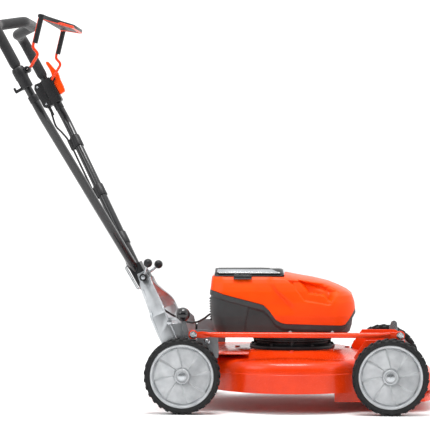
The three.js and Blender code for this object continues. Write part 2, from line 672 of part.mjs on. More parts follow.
// Ball-ended clamping levers on both ends of the fold bolt.
function buildClampLevers() {
  for (const [side, sign, toBallX, toBallZ] of [['r', -1, 14.5, 41], ['l', 1, 34, 32]]) {
    const y = sign * 52;
    const hub = rodY(foldX, foldZ, ...spanY(sign, [bracketTopY + 4, 57]), 11);
    const arm = new BentBar([[foldX, y, foldZ], [foldX + toBallX * 0.5, y, foldZ + toBallZ * 0.5],
      [foldX + toBallX, sign * 62, foldZ + toBallZ]], 10, 2);
    const ball = new THREE.SphereGeometry(12.5, 12, 8).translate(foldX + toBallX, sign * 62, foldZ + toBallZ);
    const lever = cut(join(hub, bentRod(arm, 4, 8), ball),
      rodY(foldX, foldZ, -90, 90, foldBoltRadius + fit + 0.1, 12));
    addMesh(mower, `clamp_lever_${side}`, lever, blackPlastic);
  }
}

// ---------------------------------------------------------------- handle
// The handle's own frame: z runs up along the tubes from the fold bolt, x points forward.
const handle = new THREE.Group();
handle.position.set(foldX, 0, foldZ);
handle.rotation.y = -handleLean;
mower.add(handle);

const legY = (u) => legFootY + ((gripHalfWidth - legFootY) * (u - legFoot)) / (legBend - legFoot);

function legBar(sign) {
  return new BentBar([[tubeOffset, sign * legFootY, legFoot], [tubeOffset, sign * gripHalfWidth, legBend],
    [tubeOffset, sign * gripHalfWidth, legTop]], 90, 4);
}

// The upper tube's run from one side to the other, with the grip hump in the middle.
function upperBar(start) {
  const side = (sign) => [[tubeOffset, sign * gripHalfWidth, start],
    [tubeOffset, sign * gripHalfWidth, handleTop], [tubeOffset, sign * (humpHalf + 85), handleTop],
    [tubeOffset + humpReach, sign * humpHalf, handleTop - humpDrop]];
  return new BentBar([...side(-1), ...side(1).reverse()], 45, 3);
}

function buildHandle() {
  const tubes = bothSides.map(([, sign]) => legBar(sign));
  const ahead = tubeOffset + legRadius + 7.8;
  const half = legFootY + 17;
  const block = join(box(blockBehind, ahead, -half, half, -15, 45), rodY(0, 0, -half, half, 16),
    rodY(-24, 55, -12, 12, 6), box(-30, -18, -12, 12, 40, 55));
  const legRooms = tubes.map((bar) => bentRod(bar, legRadius + fit, 12));
  const wireRoom = rodY(-24, 55, -20, 20, 2.2, 8);
  const boltRoom = rodY(0, 0, -50, 50, foldBoltRadius + fit + 0.2, 12);
  addMesh(handle, 'fold_block', cut(block, ...legRooms, wireRoom, boltRoom), blackPlastic);
  bothSides.forEach(([side], i) => {
    const tube = bentRod(tubes[i], legRadius, 12, upperTubeRadius + 0.6);
    addMesh(handle, `handle_leg_${side}`, tube, blackPaint);
  });
  addMesh(handle, 'upper_handle', bentRod(upperBar(legTop - 38), upperTubeRadius, 10, 9.5), blackPaint);
  addMesh(handle, 'foam_grip', bentRod(upperBar(foamStart), foamRadius, 10, upperTubeRadius + 0.5), foam);
}

function buildBailClamp() {
  const y = -gripHalfWidth;
  const barrel = rodZ(tubeOffset, y, 612, foamStart - fit, 17, 16);
  const boss = rodY(bailPivotX, bailPivotU, y - 12, -bailY - bailRadius - 1.5, 9);
  const neck = box(tubeOffset, bailPivotX, y - 10, y + 10, bailPivotU - 9, bailPivotU + 9);
  const hook = join(box(-44, -20, y - 5, y + 5, 613, 622), box(-48, -41, y - 7, y + 7, 612, 630));
  const tubeRoom = rodZ(tubeOffset, y, 600, 700, upperTubeRadius + fit + 0.3, 12);
  const bailRoom = rodY(bailPivotX, bailPivotU, y + 2, 0, bailRadius + fit + 0.2);
  addMesh(handle, 'bail_clamp', cut(join(barrel, boss, neck, hook), tubeRoom, bailRoom), blackPlastic);
}

function buildControlBox() {
  const earReach = 7;
  const bossEnd = boxInner + 6;
  const tubeRoom = rodZ(tubeOffset, gripHalfWidth, 560, 700, upperTubeRadius + fit + 0.3, 12);
  const bailBoss = join(rodY(bailPivotX, bailPivotU, boxInner, bossEnd, 9),
    box(0, bailPivotX, boxInner, bossEnd, bailPivotU - 9, bailPivotU + 9));
  const ear = join(rodY(startPivotX, startPivotU, boxOuter - earReach, boxOuter - 1, earReach),
    box(0, startPivotX, boxOuter - earReach, boxOuter - 1, startPivotU - earReach, startPivotU + earReach));
  const startPin = rodY(startPivotX, startPivotU, boxInner + earReach, boxOuter - 3, startPinRadius, 10);
  const body = box(boxSeam + fit / 2, 8, boxInner, boxOuter, boxStart, boxEnd);
  const front = join(body, bailBoss, ear, startPin);
  const bailRoom = rodY(bailPivotX, bailPivotU, boxInner - 5, boxInner + 4, bailRadius + fit + 0.2);
  addMesh(handle, 'control_box_front', cut(front, tubeRoom, bailRoom), greyPlastic);
  const rear = polygon([[-52, boxStart + 6], [-46, boxStart], [boxSeam - fit / 2, boxStart],
    [boxSeam - fit / 2, boxEnd], [-44, boxEnd], [-52, boxEnd - 12]]);
  const roomInside = box(-46, boxSeam, boxInner + 3, boxOuter - 3, boxStart + 8, boxEnd - 8);
  addMesh(handle, 'control_box_rear', cut(plateY(rear, boxInner, boxOuter), roomInside), greyPlastic);
  const lever = polygon([[9.5, 606], [27, 609], [31, 647], [35, 668], [31, 681], [24, 712], [16, 713],
    [17, 690], [15.5, 672], [9.5, 656]]);
  lever.holes.push(circleHole(startPivotX, startPivotU, startPinRadius + fit, 10));
  addMesh(handle, 'start_lever', plateY(lever, boxInner + 9, boxOuter - 9), orangePlastic);
}

// ---------------------------------------------------------------- bail
// The bail leans forward off the handle; its own directions are along its legs and square to them.
const bailLeg = new THREE.Vector2(bailHead[0] - bailFoot[0], bailHead[1] - bailFoot[1]);
const bailAlong = bailLeg.clone().normalize();
const bailOut = new THREE.Vector2(bailAlong.y, -bailAlong.x);
const onBail = (out, y, up) => [
  bailHead[0] + out * bailOut.x + up * bailAlong.x,
  y,
  bailHead[1] + out * bailOut.y + up * bailAlong.y,
];

function bailBar() {
  const side = (sign) => [[bailPivotX, sign * (bailY + 8), bailPivotU],
    [bailPivotX, sign * bailY, bailPivotU], [57, sign * bailY, 683], [52, sign * bailY, 705],
    [bailFoot[0], sign * bailY, bailFoot[1]],
    onBail(0, sign * bailY, 0), onBail(0, sign * (bailHumpHalf + 95), 0),
    onBail(bailHump, sign * bailHumpHalf, 0)];
  return new BentBar([...side(-1), ...side(1).reverse()], 12, 2);
}

function buildBail() {
  const bar = bailBar();
  addMesh(handle, 'bail_wire', bentRod(bar, bailRadius, 8), orangePaint);
  // Clip-on covers: a strip down each leg and a broad paddle across the top.
  const slab = (out0, out1, y0, y1, up0, up1) => loft([up0, up1].map((up) =>
    [[out0, y0], [out1, y0], [out1, y1], [out0, y1]].map(([out, y]) => onBail(out, y, up))));
  const pieces = [];
  for (const [, sign] of bothSides) {
    const outerFace = bailY + bailRadius - 0.5;
    pieces.push(slab(-1, 11, ...spanY(sign, [bailY - 7, outerFace]), -bailLeg.length() + 6, 9));
    pieces.push(slab(-5, 9, ...spanY(sign, [bailHumpHalf, outerFace]), -1, 9));
  }
  const paddle = [[-5, -bailHumpHalf - 60], [bailHump - 18, -bailHumpHalf - 16],
    [bailHump + 5, -bailHumpHalf + 10], [bailHump + 5, bailHumpHalf - 10],
    [bailHump - 18, bailHumpHalf + 16], [-5, bailHumpHalf + 60]];
  pieces.push(loft([-2, 8].map((up) => paddle.map(([out, y]) => onBail(out, y, up)))));
  addMesh(handle, 'bail_cover', cut(join(...pieces), bentRod(bar, bailRadius + fit, 8)), blackPlastic);
}

// ---------------------------------------------------------------- wire clip, cables
function buildLockWire() {
  const side = (sign) => [[-24, sign * 6, 55], [-24, sign * 17, 55], [-37, sign * 17, 48],
    [-35, sign * 17, -24], [-22, sign * 17, -21]];
  const line = new BentBar([...side(-1), ...side(1).reverse()], 5, 2);
  addMesh(handle, 'lock_wire', bentRod(line, 1.5, 6), steel);
}

const upperCable = [[-38, 240, boxStart - 1], [-39, 240, 574], [-42, 240, 560], [-47, 238, 527],
  [-39, 230, 500], [cableBehind, 214, 462], [cableBehind, 184, 383], [cableBehind, 141, 286],
  [cableBehind, 104, 204], [cableBehind, 69, 127], [cableBehind, 44, 70],
  [blockBehind - 5, 35, 34], [blockBehind - 4, 34, 8], [blockBehind - 3, 34, -13]];
const cableMeetsX = foldX + 7 + blockBehind;          // where the lower run takes over
const lowerCable = [[cableMeetsX, 34, 338], [cableMeetsX + 6, 37, 327], [-125, 48, 308],
  [-100, 68, 283], [-70, 88, 258], [-40, 98, 240], [-6, 92, 227], [18, 80, 228], [42, 68, 240],
  [58, 61, 252], [76, 58, 257]];

function cableTube(points, steps) {
  const knots = points.map((p) => new THREE.Vector3(...p));
  const curve = new THREE.CatmullRomCurve3(knots, false, 'centripetal');
  const section = new THREE.Shape();
  for (let i = 0; i < 8; i++) {
    const point = [cableRadius * Math.cos((i * Math.PI) / 4), cableRadius * Math.sin((i * Math.PI) / 4)];
    if (i === 0) section.moveTo(...point);
    else section.lineTo(...point);
  }
  return new THREE.ExtrudeGeometry(section, { steps, extrudePath: curve });
}

function buildCables() {
  addMesh(handle, 'control_cable', cableTube(upperCable, 36), blackPlastic);
  addMesh(mower, 'motor_cable', cableTube(lowerCable, 24), blackPlastic);
  const legRoom = bentRod(legBar(1), legRadius + fit, 12);
  const cableRoom = bentRod(new BentBar(upperCable, 5, 2), cableRadius + 1.2, 8);
  clipPlaces.forEach((u, i) => {
    const span = [u - clipHalf, u + clipHalf];
    const ends = span.map((v) => [tubeOffset, legY(v), v]);
    const ring = bentRod(new BentBar(ends, 1), legRadius + 3, 12);
    const saddle = loft(span.map((v) => [[cableBehind - 5, legY(v) - 6, v],
      [tubeOffset, legY(v) - 6, v], [tubeOffset, legY(v) + 6, v], [cableBehind - 5, legY(v) + 6, v]]));
    addMesh(handle, `cable_clip_${i + 1}`, cut(join(ring, saddle), legRoom, cableRoom), blackPlastic);
  });
}

buildDeck();
buildBrackets();
buildMotor();
buildHousing();
buildBattery();
buildWheels();
buildAxles();
buildHeightLever();
buildHandleBrackets();
buildClampLevers();
buildHandle();
buildBailClamp();
buildControlBox();
buildBail();
buildLockWire();
buildCables();

// The origin is the middle of the footprint, on the ground.
mower.updateMatrixWorld(true);
const extent = new THREE.Box3().setFromObject(mower, true);
mower.position.x = -Math.round((extent.min.x + extent.max.x) / 2);

export default mower;
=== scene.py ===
# %% [markdown]
# # A cordless walk-behind mower
# The machine is a pressed steel bowl on four moulded wheels, with a battery motor housing on top
# and a folding tube handle. The CAD solids hold every size and every joint. Each cell below gives
# one piece its real surface: a rolled lip, a moulded step or a fine grain.

# %% Load the frame and measure it
import json
import math
import bpy
import bmesh
from mathutils import Matrix, Vector


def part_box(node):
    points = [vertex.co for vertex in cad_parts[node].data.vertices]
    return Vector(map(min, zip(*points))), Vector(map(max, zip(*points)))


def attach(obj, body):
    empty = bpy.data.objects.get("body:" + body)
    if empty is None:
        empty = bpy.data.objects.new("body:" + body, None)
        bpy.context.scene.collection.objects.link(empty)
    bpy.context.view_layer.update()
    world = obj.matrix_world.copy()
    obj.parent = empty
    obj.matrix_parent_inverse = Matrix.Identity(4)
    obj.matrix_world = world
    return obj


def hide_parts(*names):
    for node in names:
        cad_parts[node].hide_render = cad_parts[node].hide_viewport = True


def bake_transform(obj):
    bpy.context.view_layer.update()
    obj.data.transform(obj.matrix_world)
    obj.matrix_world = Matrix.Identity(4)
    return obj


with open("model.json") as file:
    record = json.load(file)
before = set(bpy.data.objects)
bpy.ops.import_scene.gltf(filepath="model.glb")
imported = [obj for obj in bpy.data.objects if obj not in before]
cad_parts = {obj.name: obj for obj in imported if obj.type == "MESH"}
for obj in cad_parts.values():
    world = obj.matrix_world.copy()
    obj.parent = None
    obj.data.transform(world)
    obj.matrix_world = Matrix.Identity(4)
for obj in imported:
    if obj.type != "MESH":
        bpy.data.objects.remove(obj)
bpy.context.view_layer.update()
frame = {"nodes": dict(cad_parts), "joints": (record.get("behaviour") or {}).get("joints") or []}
scene = bpy.context.scene
MM = 0.001


def middle(node):
    low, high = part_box(node)
    return (low + high) / 2


REAR_HUB = middle("rim_rear_r")
FRONT_HUB = middle("rim_front_r")
JOINT_AT = {joint["name"]: Vector(joint["pos_m"]) for joint in frame["joints"] if "pos_m" in joint}
FOLD = JOINT_AT["handle_fold"]
LEAN = math.radians(28.4)
print("wheelbase mm", round((FRONT_HUB.x - REAR_HUB.x) / MM))

# %% [markdown]
# ## Two ways to name a place
# Deck pieces are laid out in millimetres from the rear axle, and handle pieces in millimetres
# along the leaning tubes from the fold bolt. Two small functions turn both into the object's frame.

# %% Places on the deck and on the handle
def deck_at(x, y, z):
    return Vector((REAR_HUB.x + x * MM, y * MM, z * MM))


HANDLE_FRAME = Matrix.Translation(FOLD) @ Matrix.Rotation(-LEAN, 4, "Y")


def handle_at(x, y, along):
    return HANDLE_FRAME @ Vector((x * MM, y * MM, along * MM))


SIDES = (("r", -1), ("l", 1))
print("fold bolt at", [round(value, 3) for value in FOLD])

# %% [markdown]
# ## Mesh helpers
# A piece is made from rings of points, from a turned profile, or from a copy of its CAD solid.
# Modifiers such as Bevel then round what a press, a mould or a file would round, and the result
# becomes the piece's own mesh, so nothing is left live when a body carries it.

# %% Points into a mesh, and modifiers into its surface
BEVEL_ANGLE = math.radians(32)


def seed_at(x, y, z):
    """A place in the frame of a seed that a tree copies, from mm."""
    return Vector((x, y, z)) * MM


def new_piece(name, points, faces, material):
    mesh = bpy.data.meshes.new(name)
    mesh.from_pydata([tuple(point) for point in points], [], faces)
    work = bmesh.new()
    work.from_mesh(mesh)
    bmesh.ops.remove_doubles(work, verts=work.verts, dist=1e-6)
    bmesh.ops.recalc_face_normals(work, faces=work.faces)
    work.to_mesh(mesh)
    work.free()
    mesh.materials.append(material)
    piece = bpy.data.objects.new(name, mesh)
    scene.collection.objects.link(piece)
    return piece


def settle(piece, bevel=0.0, segments=2, modifiers=(), sharp=40, angle=BEVEL_ANGLE):
    """Applies modifiers, rounds edges by a radius in mm and leaves a plain, smoothly lit mesh."""
    for kind, settings in modifiers:
        modifier = piece.modifiers.new(kind, kind)
        for key, value in settings.items():
            setattr(modifier, key, value)
    if bevel:
        modifier = piece.modifiers.new("rounded edges", "BEVEL")
        modifier.width = bevel * MM
        modifier.segments = segments
        modifier.limit_method = "ANGLE"
        modifier.angle_limit = angle
    seen = piece.evaluated_get(bpy.context.evaluated_depsgraph_get())
    mesh = bpy.data.meshes.new_from_object(seen)
    piece.modifiers.clear()
    piece.data = mesh
    mesh.polygons.foreach_set("use_smooth", [True] * len(mesh.polygons))
    mesh.set_sharp_from_angle(angle=math.radians(sharp))
    return piece


def carve(piece, tool, operation="DIFFERENCE"):
    """One exact boolean; the tool is used up."""
    modifier = piece.modifiers.new("carve", "BOOLEAN")
    modifier.operation = operation
    modifier.solver = "EXACT"
    modifier.object = tool
    seen = piece.evaluated_get(bpy.context.evaluated_depsgraph_get())
    mesh = bpy.data.meshes.new_from_object(seen)
    piece.modifiers.clear()
    piece.data = mesh
    bpy.data.objects.remove(tool)
    return piece


def welded(name, pieces):
    """Several closed shells as one piece of one material."""
    work = bmesh.new()
    for piece in pieces:
        work.from_mesh(piece.data)
    mesh = bpy.data.meshes.new(name)
    work.to_mesh(mesh)
    work.free()
    mesh.materials.append(pieces[0].data.materials[0])
    mesh.set_sharp_from_angle(angle=math.radians(40))
    for piece in pieces:
        bpy.data.objects.remove(piece)
    whole = bpy.data.objects.new(name, mesh)
    scene.collection.objects.link(whole)
    return whole


# %% Rings, turned shapes, tubes and plates
def lofted(name, rings, material, closed=False):
    """A skin over rings of equally many points; its ends are capped unless it closes on itself."""
    count = len(rings[0])
    faces = []
    steps = len(rings) if closed else len(rings) - 1
    for r in range(steps):
        a, b = r * count, ((r + 1) % len(rings)) * count
        for i in range(count):
            j = (i + 1) % count
            faces.append((a + i, a + j, b + j, b + i))
    if not closed:
        faces.append(tuple(range(count)))
        faces.append(tuple(range((len(rings) - 1) * count, len(rings) * count)))
    return new_piece(name, [point for ring in rings for point in ring], faces, material)


def turned(name, profile, axis, centre, material, steps=96):
    """A closed [radius, height] profile in mm, turned about an axis through centre."""
    turn_to_axis = Vector((0, 0, 1)).rotation_difference(Vector(axis)).to_matrix()
    rings = []
    for i in range(steps):
        angle = 2 * math.pi * i / steps
        across = Vector((math.cos(angle), math.sin(angle), 0))
        rings.append([centre + turn_to_axis @ (across * r + Vector((0, 0, h))) * MM for r, h in profile])
    return lofted(name, rings, material, closed=True)


def rounded(corners, radius, steps=8):
    """A centre line through corners, each one eased over a radius in metres."""
    points = [Vector(corner) for corner in corners]
    line = [points[0]]
    for before, here, after in zip(points, points[1:], points[2:]):
        back, ahead = (before - here).normalized(), (after - here).normalized()
        half = back.angle(ahead) / 2
        reach = min(radius / math.tan(half), (before - here).length * 0.48, (after - here).length * 0.48)
        start, end = here + back * reach, here + ahead * reach
        for i in range(steps + 1):
            t = i / steps
            line.append(start * (1 - t) ** 2 + here * 2 * t * (1 - t) + end * t ** 2)
    line.append(points[-1])
    return line


def smooth_line(points, per_span=6):
    """A Catmull-Rom curve through given points."""
    points = [Vector(point) for point in points]
    ends = [points[0] * 2 - points[1]] + points + [points[-1] * 2 - points[-2]]
    line = []
    for p0, p1, p2, p3 in zip(ends, ends[1:], ends[2:], ends[3:]):
        for i in range(per_span):
            t = i / per_span
            line.append(0.5 * (2 * p1 + (p2 - p0) * t + (2 * p0 - 5 * p1 + 4 * p2 - p3) * t ** 2
                               + (3 * p1 - p0 - 3 * p2 + p3) * t ** 3))
    line.append(points[-1])
    return line


def swept(name, line, section, material):
    """A section of (side, up) mm points carried along a line without twisting."""
    tangents = []
    for i, point in enumerate(line):
        ahead = line[min(i + 1, len(line) - 1)] - line[max(i - 1, 0)]
        tangents.append(ahead.normalized())
    side = tangents[0].orthogonal().normalized()
    rings = []
    for i, point in enumerate(line):
        if i:
            side = tangents[i - 1].rotation_difference(tangents[i]) @ side
        up = tangents[i].cross(side)
        shape = section(i / (len(line) - 1)) if callable(section) else section
        rings.append([point + (side * a + up * b) * MM for a, b in shape])
    return lofted(name, rings, material)


def half_round(radius, start, step):
    """A ball's profile, from start degrees up from its foot to its top."""
    turns = [math.radians(degrees) for degrees in range(start, 180, step)]
    return [(radius * math.sin(turn), -radius * math.cos(turn)) for turn in turns]


def circle(radius, sides=20):
    return [(radius * math.cos(2 * math.pi * i / sides), radius * math.sin(2 * math.pi * i / sides))
            for i in range(sides)]


def plate(name, outline, y0, y1, material, place=deck_at):
    """An (x, z) outline in mm given thickness across the machine."""
    return lofted(name, [[place(x, y, z) for x, z in outline] for y in (y0, y1)], material)


def block(name, x, y, z, material, place=deck_at):
    outline = [(x[0], z[0]), (x[1], z[0]), (x[1], z[1]), (x[0], z[1])]
    return plate(name, outline, y[0], y[1], material, place)


def arc(cx, cy, radius, start, end, steps=8):
    """Points on an arc, angles in degrees."""
    turns = [math.radians(start + (end - start) * i / steps) for i in range(steps + 1)]
    return [(cx + radius * math.cos(t), cy + radius * math.sin(t)) for t in turns]


def refined(node, material, bevel=0.6, sharp=38, segments=2):
    """A CAD solid's own shape with its flats joined and its edges broken."""
    source = frame["nodes"][node]
    piece = bpy.data.objects.new(node + "_surface", source.data.copy())
    scene.collection.objects.link(piece)
    work = bmesh.new()
    work.from_mesh(piece.data)
    bmesh.ops.remove_doubles(work, verts=work.verts, dist=2e-6)
    bmesh.ops.dissolve_limit(work, angle_limit=math.radians(1.2), verts=work.verts, edges=work.edges)
    work.to_mesh(piece.data)
    work.free()
    piece.data.materials.clear()
    piece.data.materials.append(material)
    return settle(piece, bevel, segments, sharp=sharp)


def place_on(piece, body, slot, *nodes):
    """Hands a finished piece to its body and hides the solids it stands for; the finish slot is not used."""
    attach(piece, body)
    if nodes:
        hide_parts(*nodes)
    return piece


print("helpers ready")

# %% [markdown]
# ## Colours and finishes
# Every surface starts from the real material: powder coat, moulded ABS and polypropylene, zinc
# plate, rubber, closed-cell foam. Each has a base colour that drifts a little over a hand's width,
# a roughness that drifts with it, and a grain whose size is given in millimetres.

# %% One function for colour, one for a node, one for a family of finishes
def colour(hex_code):
    """An sRGB hex value as linear RGBA."""
    channels = [int(hex_code[i:i + 2], 16) / 255 for i in (1, 3, 5)]
    return [c / 12.92 if c <= 0.04045 else ((c + 0.055) / 1.055) ** 2.4 for c in channels] + [1.0]


def add(tree, kind, values=None, links=None, **settings):
    node = tree.nodes.new(kind)
    for key, value in settings.items():
        setattr(node, key, value)
    for key, value in (values or {}).items():
        node.inputs[key].default_value = value
    for key, (source, output) in (links or {}).items():
        tree.links.new(source.outputs[output], node.inputs[key])
    return node


def finish(name, light, dark, rough, metallic=0.0, patch=70, grain=0.8, depth=0.04, stretch=(1, 1, 1),
           cells=False, coat=0.0, coat_rough=0.08, sheen=0.0, alpha=1.0, mirror=0.36):
    """light and dark: the colour's drift. rough: its range. patch, grain, depth: sizes in mm."""
    material = bpy.data.materials.new(name)
    material.use_nodes = True
    tree = material.node_tree
    tree.nodes.clear()
    place = add(tree, "ShaderNodeTexCoord")
    turned_to = add(tree, "ShaderNodeMapping", {"Scale": stretch}, {"Vector": (place, "Object")})
    clouds = add(tree, "ShaderNodeTexNoise", {"Scale": 1 / (patch * MM), "Detail": 3.0, "Roughness": 0.55},
                 {"Vector": (place, "Object")})
    ramp = add(tree, "ShaderNodeMapRange", {"From Min": 0.3, "From Max": 0.7}, {"Value": (clouds, 0)})
    if cells:
        texture = add(tree, "ShaderNodeTexVoronoi", {"Scale": 1 / (grain * MM)}, {"Vector": (turned_to, 0)})
        height = (texture, "Distance")
    else:
        texture = add(tree, "ShaderNodeTexNoise", {"Scale": 1 / (grain * MM), "Detail": 4.0},
                      {"Vector": (turned_to, 0)})
        height = (texture, 0)
    mix = tree.nodes.new("ShaderNodeMix")
    mix.data_type = "RGBA"
    mix.inputs[6].default_value = colour(dark)
    mix.inputs[7].default_value = colour(light)
    tree.links.new(ramp.outputs[0], mix.inputs[0])
    speck = tree.nodes.new("ShaderNodeMix")
    speck.data_type = "RGBA"
    speck.blend_type = "MULTIPLY"
    speck.inputs[0].default_value = 0.12
    tree.links.new(mix.outputs[2], speck.inputs[6])
    tree.links.new(texture.outputs[0], speck.inputs[7])
    shine = add(tree, "ShaderNodeMapRange", {"To Min": rough[0], "To Max": rough[1]}, {"Value": (texture, 0)})
    bump = add(tree, "ShaderNodeBump", {"Strength": 0.5, "Distance": depth * MM}, {"Height": height})
    surface = add(tree, "ShaderNodeBsdfPrincipled", {"Metallic": metallic, "Coat Weight": coat,
                                                     "Coat Roughness": coat_rough, "Sheen Weight": sheen,
                                                     "Alpha": alpha, "Specular IOR Level": mirror},
                  {"Base Color": (speck, 2), "Roughness": (shine, 0), "Normal": (bump, 0)})
    add(tree, "ShaderNodeOutputMaterial", links={"Surface": (surface, 0)})
    return material


# Polyester powder coat on pressed steel: a hard gloss with a faint orange peel about 2 mm across.
powder_orange = finish("orange powder coat", "#F04008", "#E03606", (0.2, 0.32), grain=2.2, depth=0.05,
                       coat=0.14, mirror=0.3)
# Moulded ABS cover: saturated, satin, with a fine spark-eroded texture.
abs_orange = finish("orange moulded ABS", "#FF4E02", "#F84602", (0.34, 0.46), grain=0.7, depth=0.03,
                    mirror=0.16)
# Glass-filled polypropylene tub: dark grey, dull, slightly mottled.
pp_grey = finish("grey moulded polypropylene", "#3E3F40", "#323334", (0.45, 0.6), grain=0.8, depth=0.05)
pp_dark = finish("dark moulded polypropylene", "#262728", "#1E1F20", (0.45, 0.62), grain=0.8, depth=0.05)
# Nylon clips, boxes and knobs: near black with a soft sheen on the edges.
nylon_black = finish("black moulded nylon", "#1B1B1D", "#141416", (0.36, 0.5), grain=0.9, depth=0.05)
phenolic_black = finish("polished phenolic ball", "#1C1C1E", "#141416", (0.16, 0.24), grain=3, depth=0.01,
                        coat=0.6)
# Battery lid: piano-black frame around a silver metallic panel.
lid_black = finish("gloss black lid", "#1B1C1F", "#131416", (0.1, 0.16), grain=3, depth=0.01, coat=0.8)
lid_silver = finish("silver lacquered panel", "#B9BCC0", "#A4A8AC", (0.14, 0.24), metallic=0.75, grain=0.5,
                    depth=0.01, coat=0.5)
# Black powder coat on drawn tube: glossy, with a long soft highlight.
powder_black = finish("black powder coat", "#1E1F21", "#17181A", (0.22, 0.32), metallic=0.1, grain=1.6,
                      depth=0.03, coat=0.5)
powder_grey = finish("grey powder coat", "#85888A", "#74777A", (0.32, 0.46), metallic=0.35, grain=1.2,
                     depth=0.05)
satin_black = finish("satin black cast housing", "#1B1B1D", "#131315", (0.34, 0.5), grain=1.4, depth=0.08)
# Bright zinc plate on cold-rolled sheet: faint rolling lines along the strip, clouded by the bath.
zinc_plate = finish("bright zinc plate", "#C6C9CC", "#AEB2B5", (0.24, 0.4), metallic=0.8, grain=1.0,
                    depth=0.02, stretch=(1, 1, 0.12))
plated_bolt = finish("plated fastener steel", "#C9CDD0", "#A9AEB2", (0.2, 0.34), metallic=0.95, grain=0.7,
                     depth=0.03)
blade_steel = finish("hardened blade steel", "#8D9093", "#6F7275", (0.3, 0.46), metallic=0.95, grain=0.5,
                     depth=0.04, stretch=(0.15, 1, 1))
# Closed-cell foam sleeve: matt, with cells just under a millimetre.
foam_black = finish("closed cell foam", "#1F1F21", "#18181A", (0.75, 0.95), grain=1.1, depth=0.25, cells=True,
                    sheen=0.2)
# Tyre rubber: matt, with mould bloom that lightens it in patches.
tyre_rubber = finish("moulded tyre rubber", "#1D1D1E", "#151516", (0.62, 0.85), grain=1.3, depth=0.12)
cable_pvc = finish("black cable sheath", "#1B1B1D", "#151516", (0.38, 0.5), grain=0.8, depth=0.03)
# Silver-filled polypropylene wheels: bright grey flow lines frozen in the moulding.
wheel_silver = finish("silver moulded wheel", "#C4C7C9", "#ABAEB1", (0.3, 0.44), metallic=0.3, patch=26,
                      grain=1.2, depth=0.04, coat=0.2)
shrink_label = finish("battery case ABS", "#3A3B3E", "#303134", (0.4, 0.55), grain=0.8, depth=0.04)
board_potting = finish("potted controller box", "#A8ABAD", "#8F9295", (0.4, 0.5), metallic=0.6, grain=1.0,
                       depth=0.05)
print(len(bpy.data.materials), "materials")

# %% [markdown]
# ## A ring and a row of equal parts
# Tread lugs, bolts, fins and louvre bars are one small part made many times. Two Geometry Nodes
# trees do it: one turns copies about an axis, the other steps them along a line. Both end in real
# geometry, which becomes a plain mesh before a body carries it.

# %% The two repeating trees
def repeating_tree(name, ring):
    tree = bpy.data.node_groups.new(name, "GeometryNodeTree")
    sockets = (("Part", "NodeSocketObject"), ("Count", "NodeSocketInt"), ("Axis or Step", "NodeSocketVector"),
               ("Centre", "NodeSocketVector"), ("Finish", "NodeSocketMaterial"))
    tree.interface.new_socket("Geometry", in_out="INPUT", socket_type="NodeSocketGeometry")
    for label, kind in sockets:
        tree.interface.new_socket(label, in_out="INPUT", socket_type=kind)
    tree.interface.new_socket("Geometry", in_out="OUTPUT", socket_type="NodeSocketGeometry")
    given = add(tree, "NodeGroupInput")
    part = add(tree, "GeometryNodeObjectInfo", links={"Object": (given, "Part")})
    line = add(tree, "GeometryNodeMeshLine", {"Offset": (0, 0, 0)}, {"Count": (given, "Count")})
    copies = add(tree, "GeometryNodeInstanceOnPoints",
                 links={"Points": (line, 0), "Instance": (part, "Geometry")})
    if ring:
        index = add(tree, "GeometryNodeInputIndex")
        share = add(tree, "ShaderNodeMath", links={0: (index, 0), 1: (given, "Count")}, operation="DIVIDE")
        angle = add(tree, "ShaderNodeMath", {1: 2 * math.pi}, {0: (share, 0)}, operation="MULTIPLY")
        turn = add(tree, "ShaderNodeVectorMath", links={0: (given, "Axis or Step"), "Scale": (angle, 0)},
                   operation="SCALE")
        tree.links.new(turn.outputs[0], copies.inputs["Rotation"])
    else:
        tree.links.new(given.outputs["Axis or Step"], line.inputs["Offset"])
    moved = add(tree, "GeometryNodeTransform", links={"Geometry": (copies, 0), "Translation": (given,
                                                                                               "Centre")})
    real = add(tree, "GeometryNodeRealizeInstances", links={0: (moved, 0)})
    painted = add(tree, "GeometryNodeSetMaterial", links={"Geometry": (real, 0), "Material": (given,
                                                                                              "Finish")})
    add(tree, "NodeGroupOutput", links={0: (painted, 0)})
    return tree


ring_tree = repeating_tree("ring of parts", True)
row_tree = repeating_tree("row of parts", False)


def repeated(name, tree, part, count, axis_or_step, centre, material):
    """part's mesh copied count times into one plain mesh; part itself is used up."""
    holder = bpy.data.objects.new(name, bpy.data.meshes.new(name))
    scene.collection.objects.link(holder)
    modifier = holder.modifiers.new("copies", "NODES")
    modifier.node_group = tree
    keys = {item.name: item.identifier for item in tree.interface.items_tree if item.in_out == "INPUT"}
    for label, value in (("Part", part), ("Count", count), ("Axis or Step", Vector(axis_or_step)),
                         ("Centre", Vector(centre)), ("Finish", material)):
        modifier[keys[label]] = value
    seen = holder.evaluated_get(bpy.context.evaluated_depsgraph_get())
    mesh = bpy.data.meshes.new_from_object(seen)
    holder.modifiers.clear()
    holder.data = mesh
    if not mesh.materials:
        mesh.materials.append(material)
    bpy.data.objects.remove(part)
    return holder


print("trees ready")

# %% [markdown]
# ## The deck
# The real deck is pressed from 2.5 mm sheet: a round bowl with a rolled lip, a crease where the
# wall turns into the shoulder, an apron drawn out at the front and a flat plate at the back. It is
# made here as the press makes it, from a turned section and two flat outlines joined by booleans.

# %% The pressed bowl, apron and rear plate
deck_low, deck_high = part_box("deck_shell")
BOWL_X = middle("motor_base").x
BOWL_R = deck_high.y / MM
LIP_Z = deck_low.z / MM
CROWN_Z = deck_high.z / MM
SHEET = 2.5
bowl_centre = Vector((BOWL_X, 0, 0))


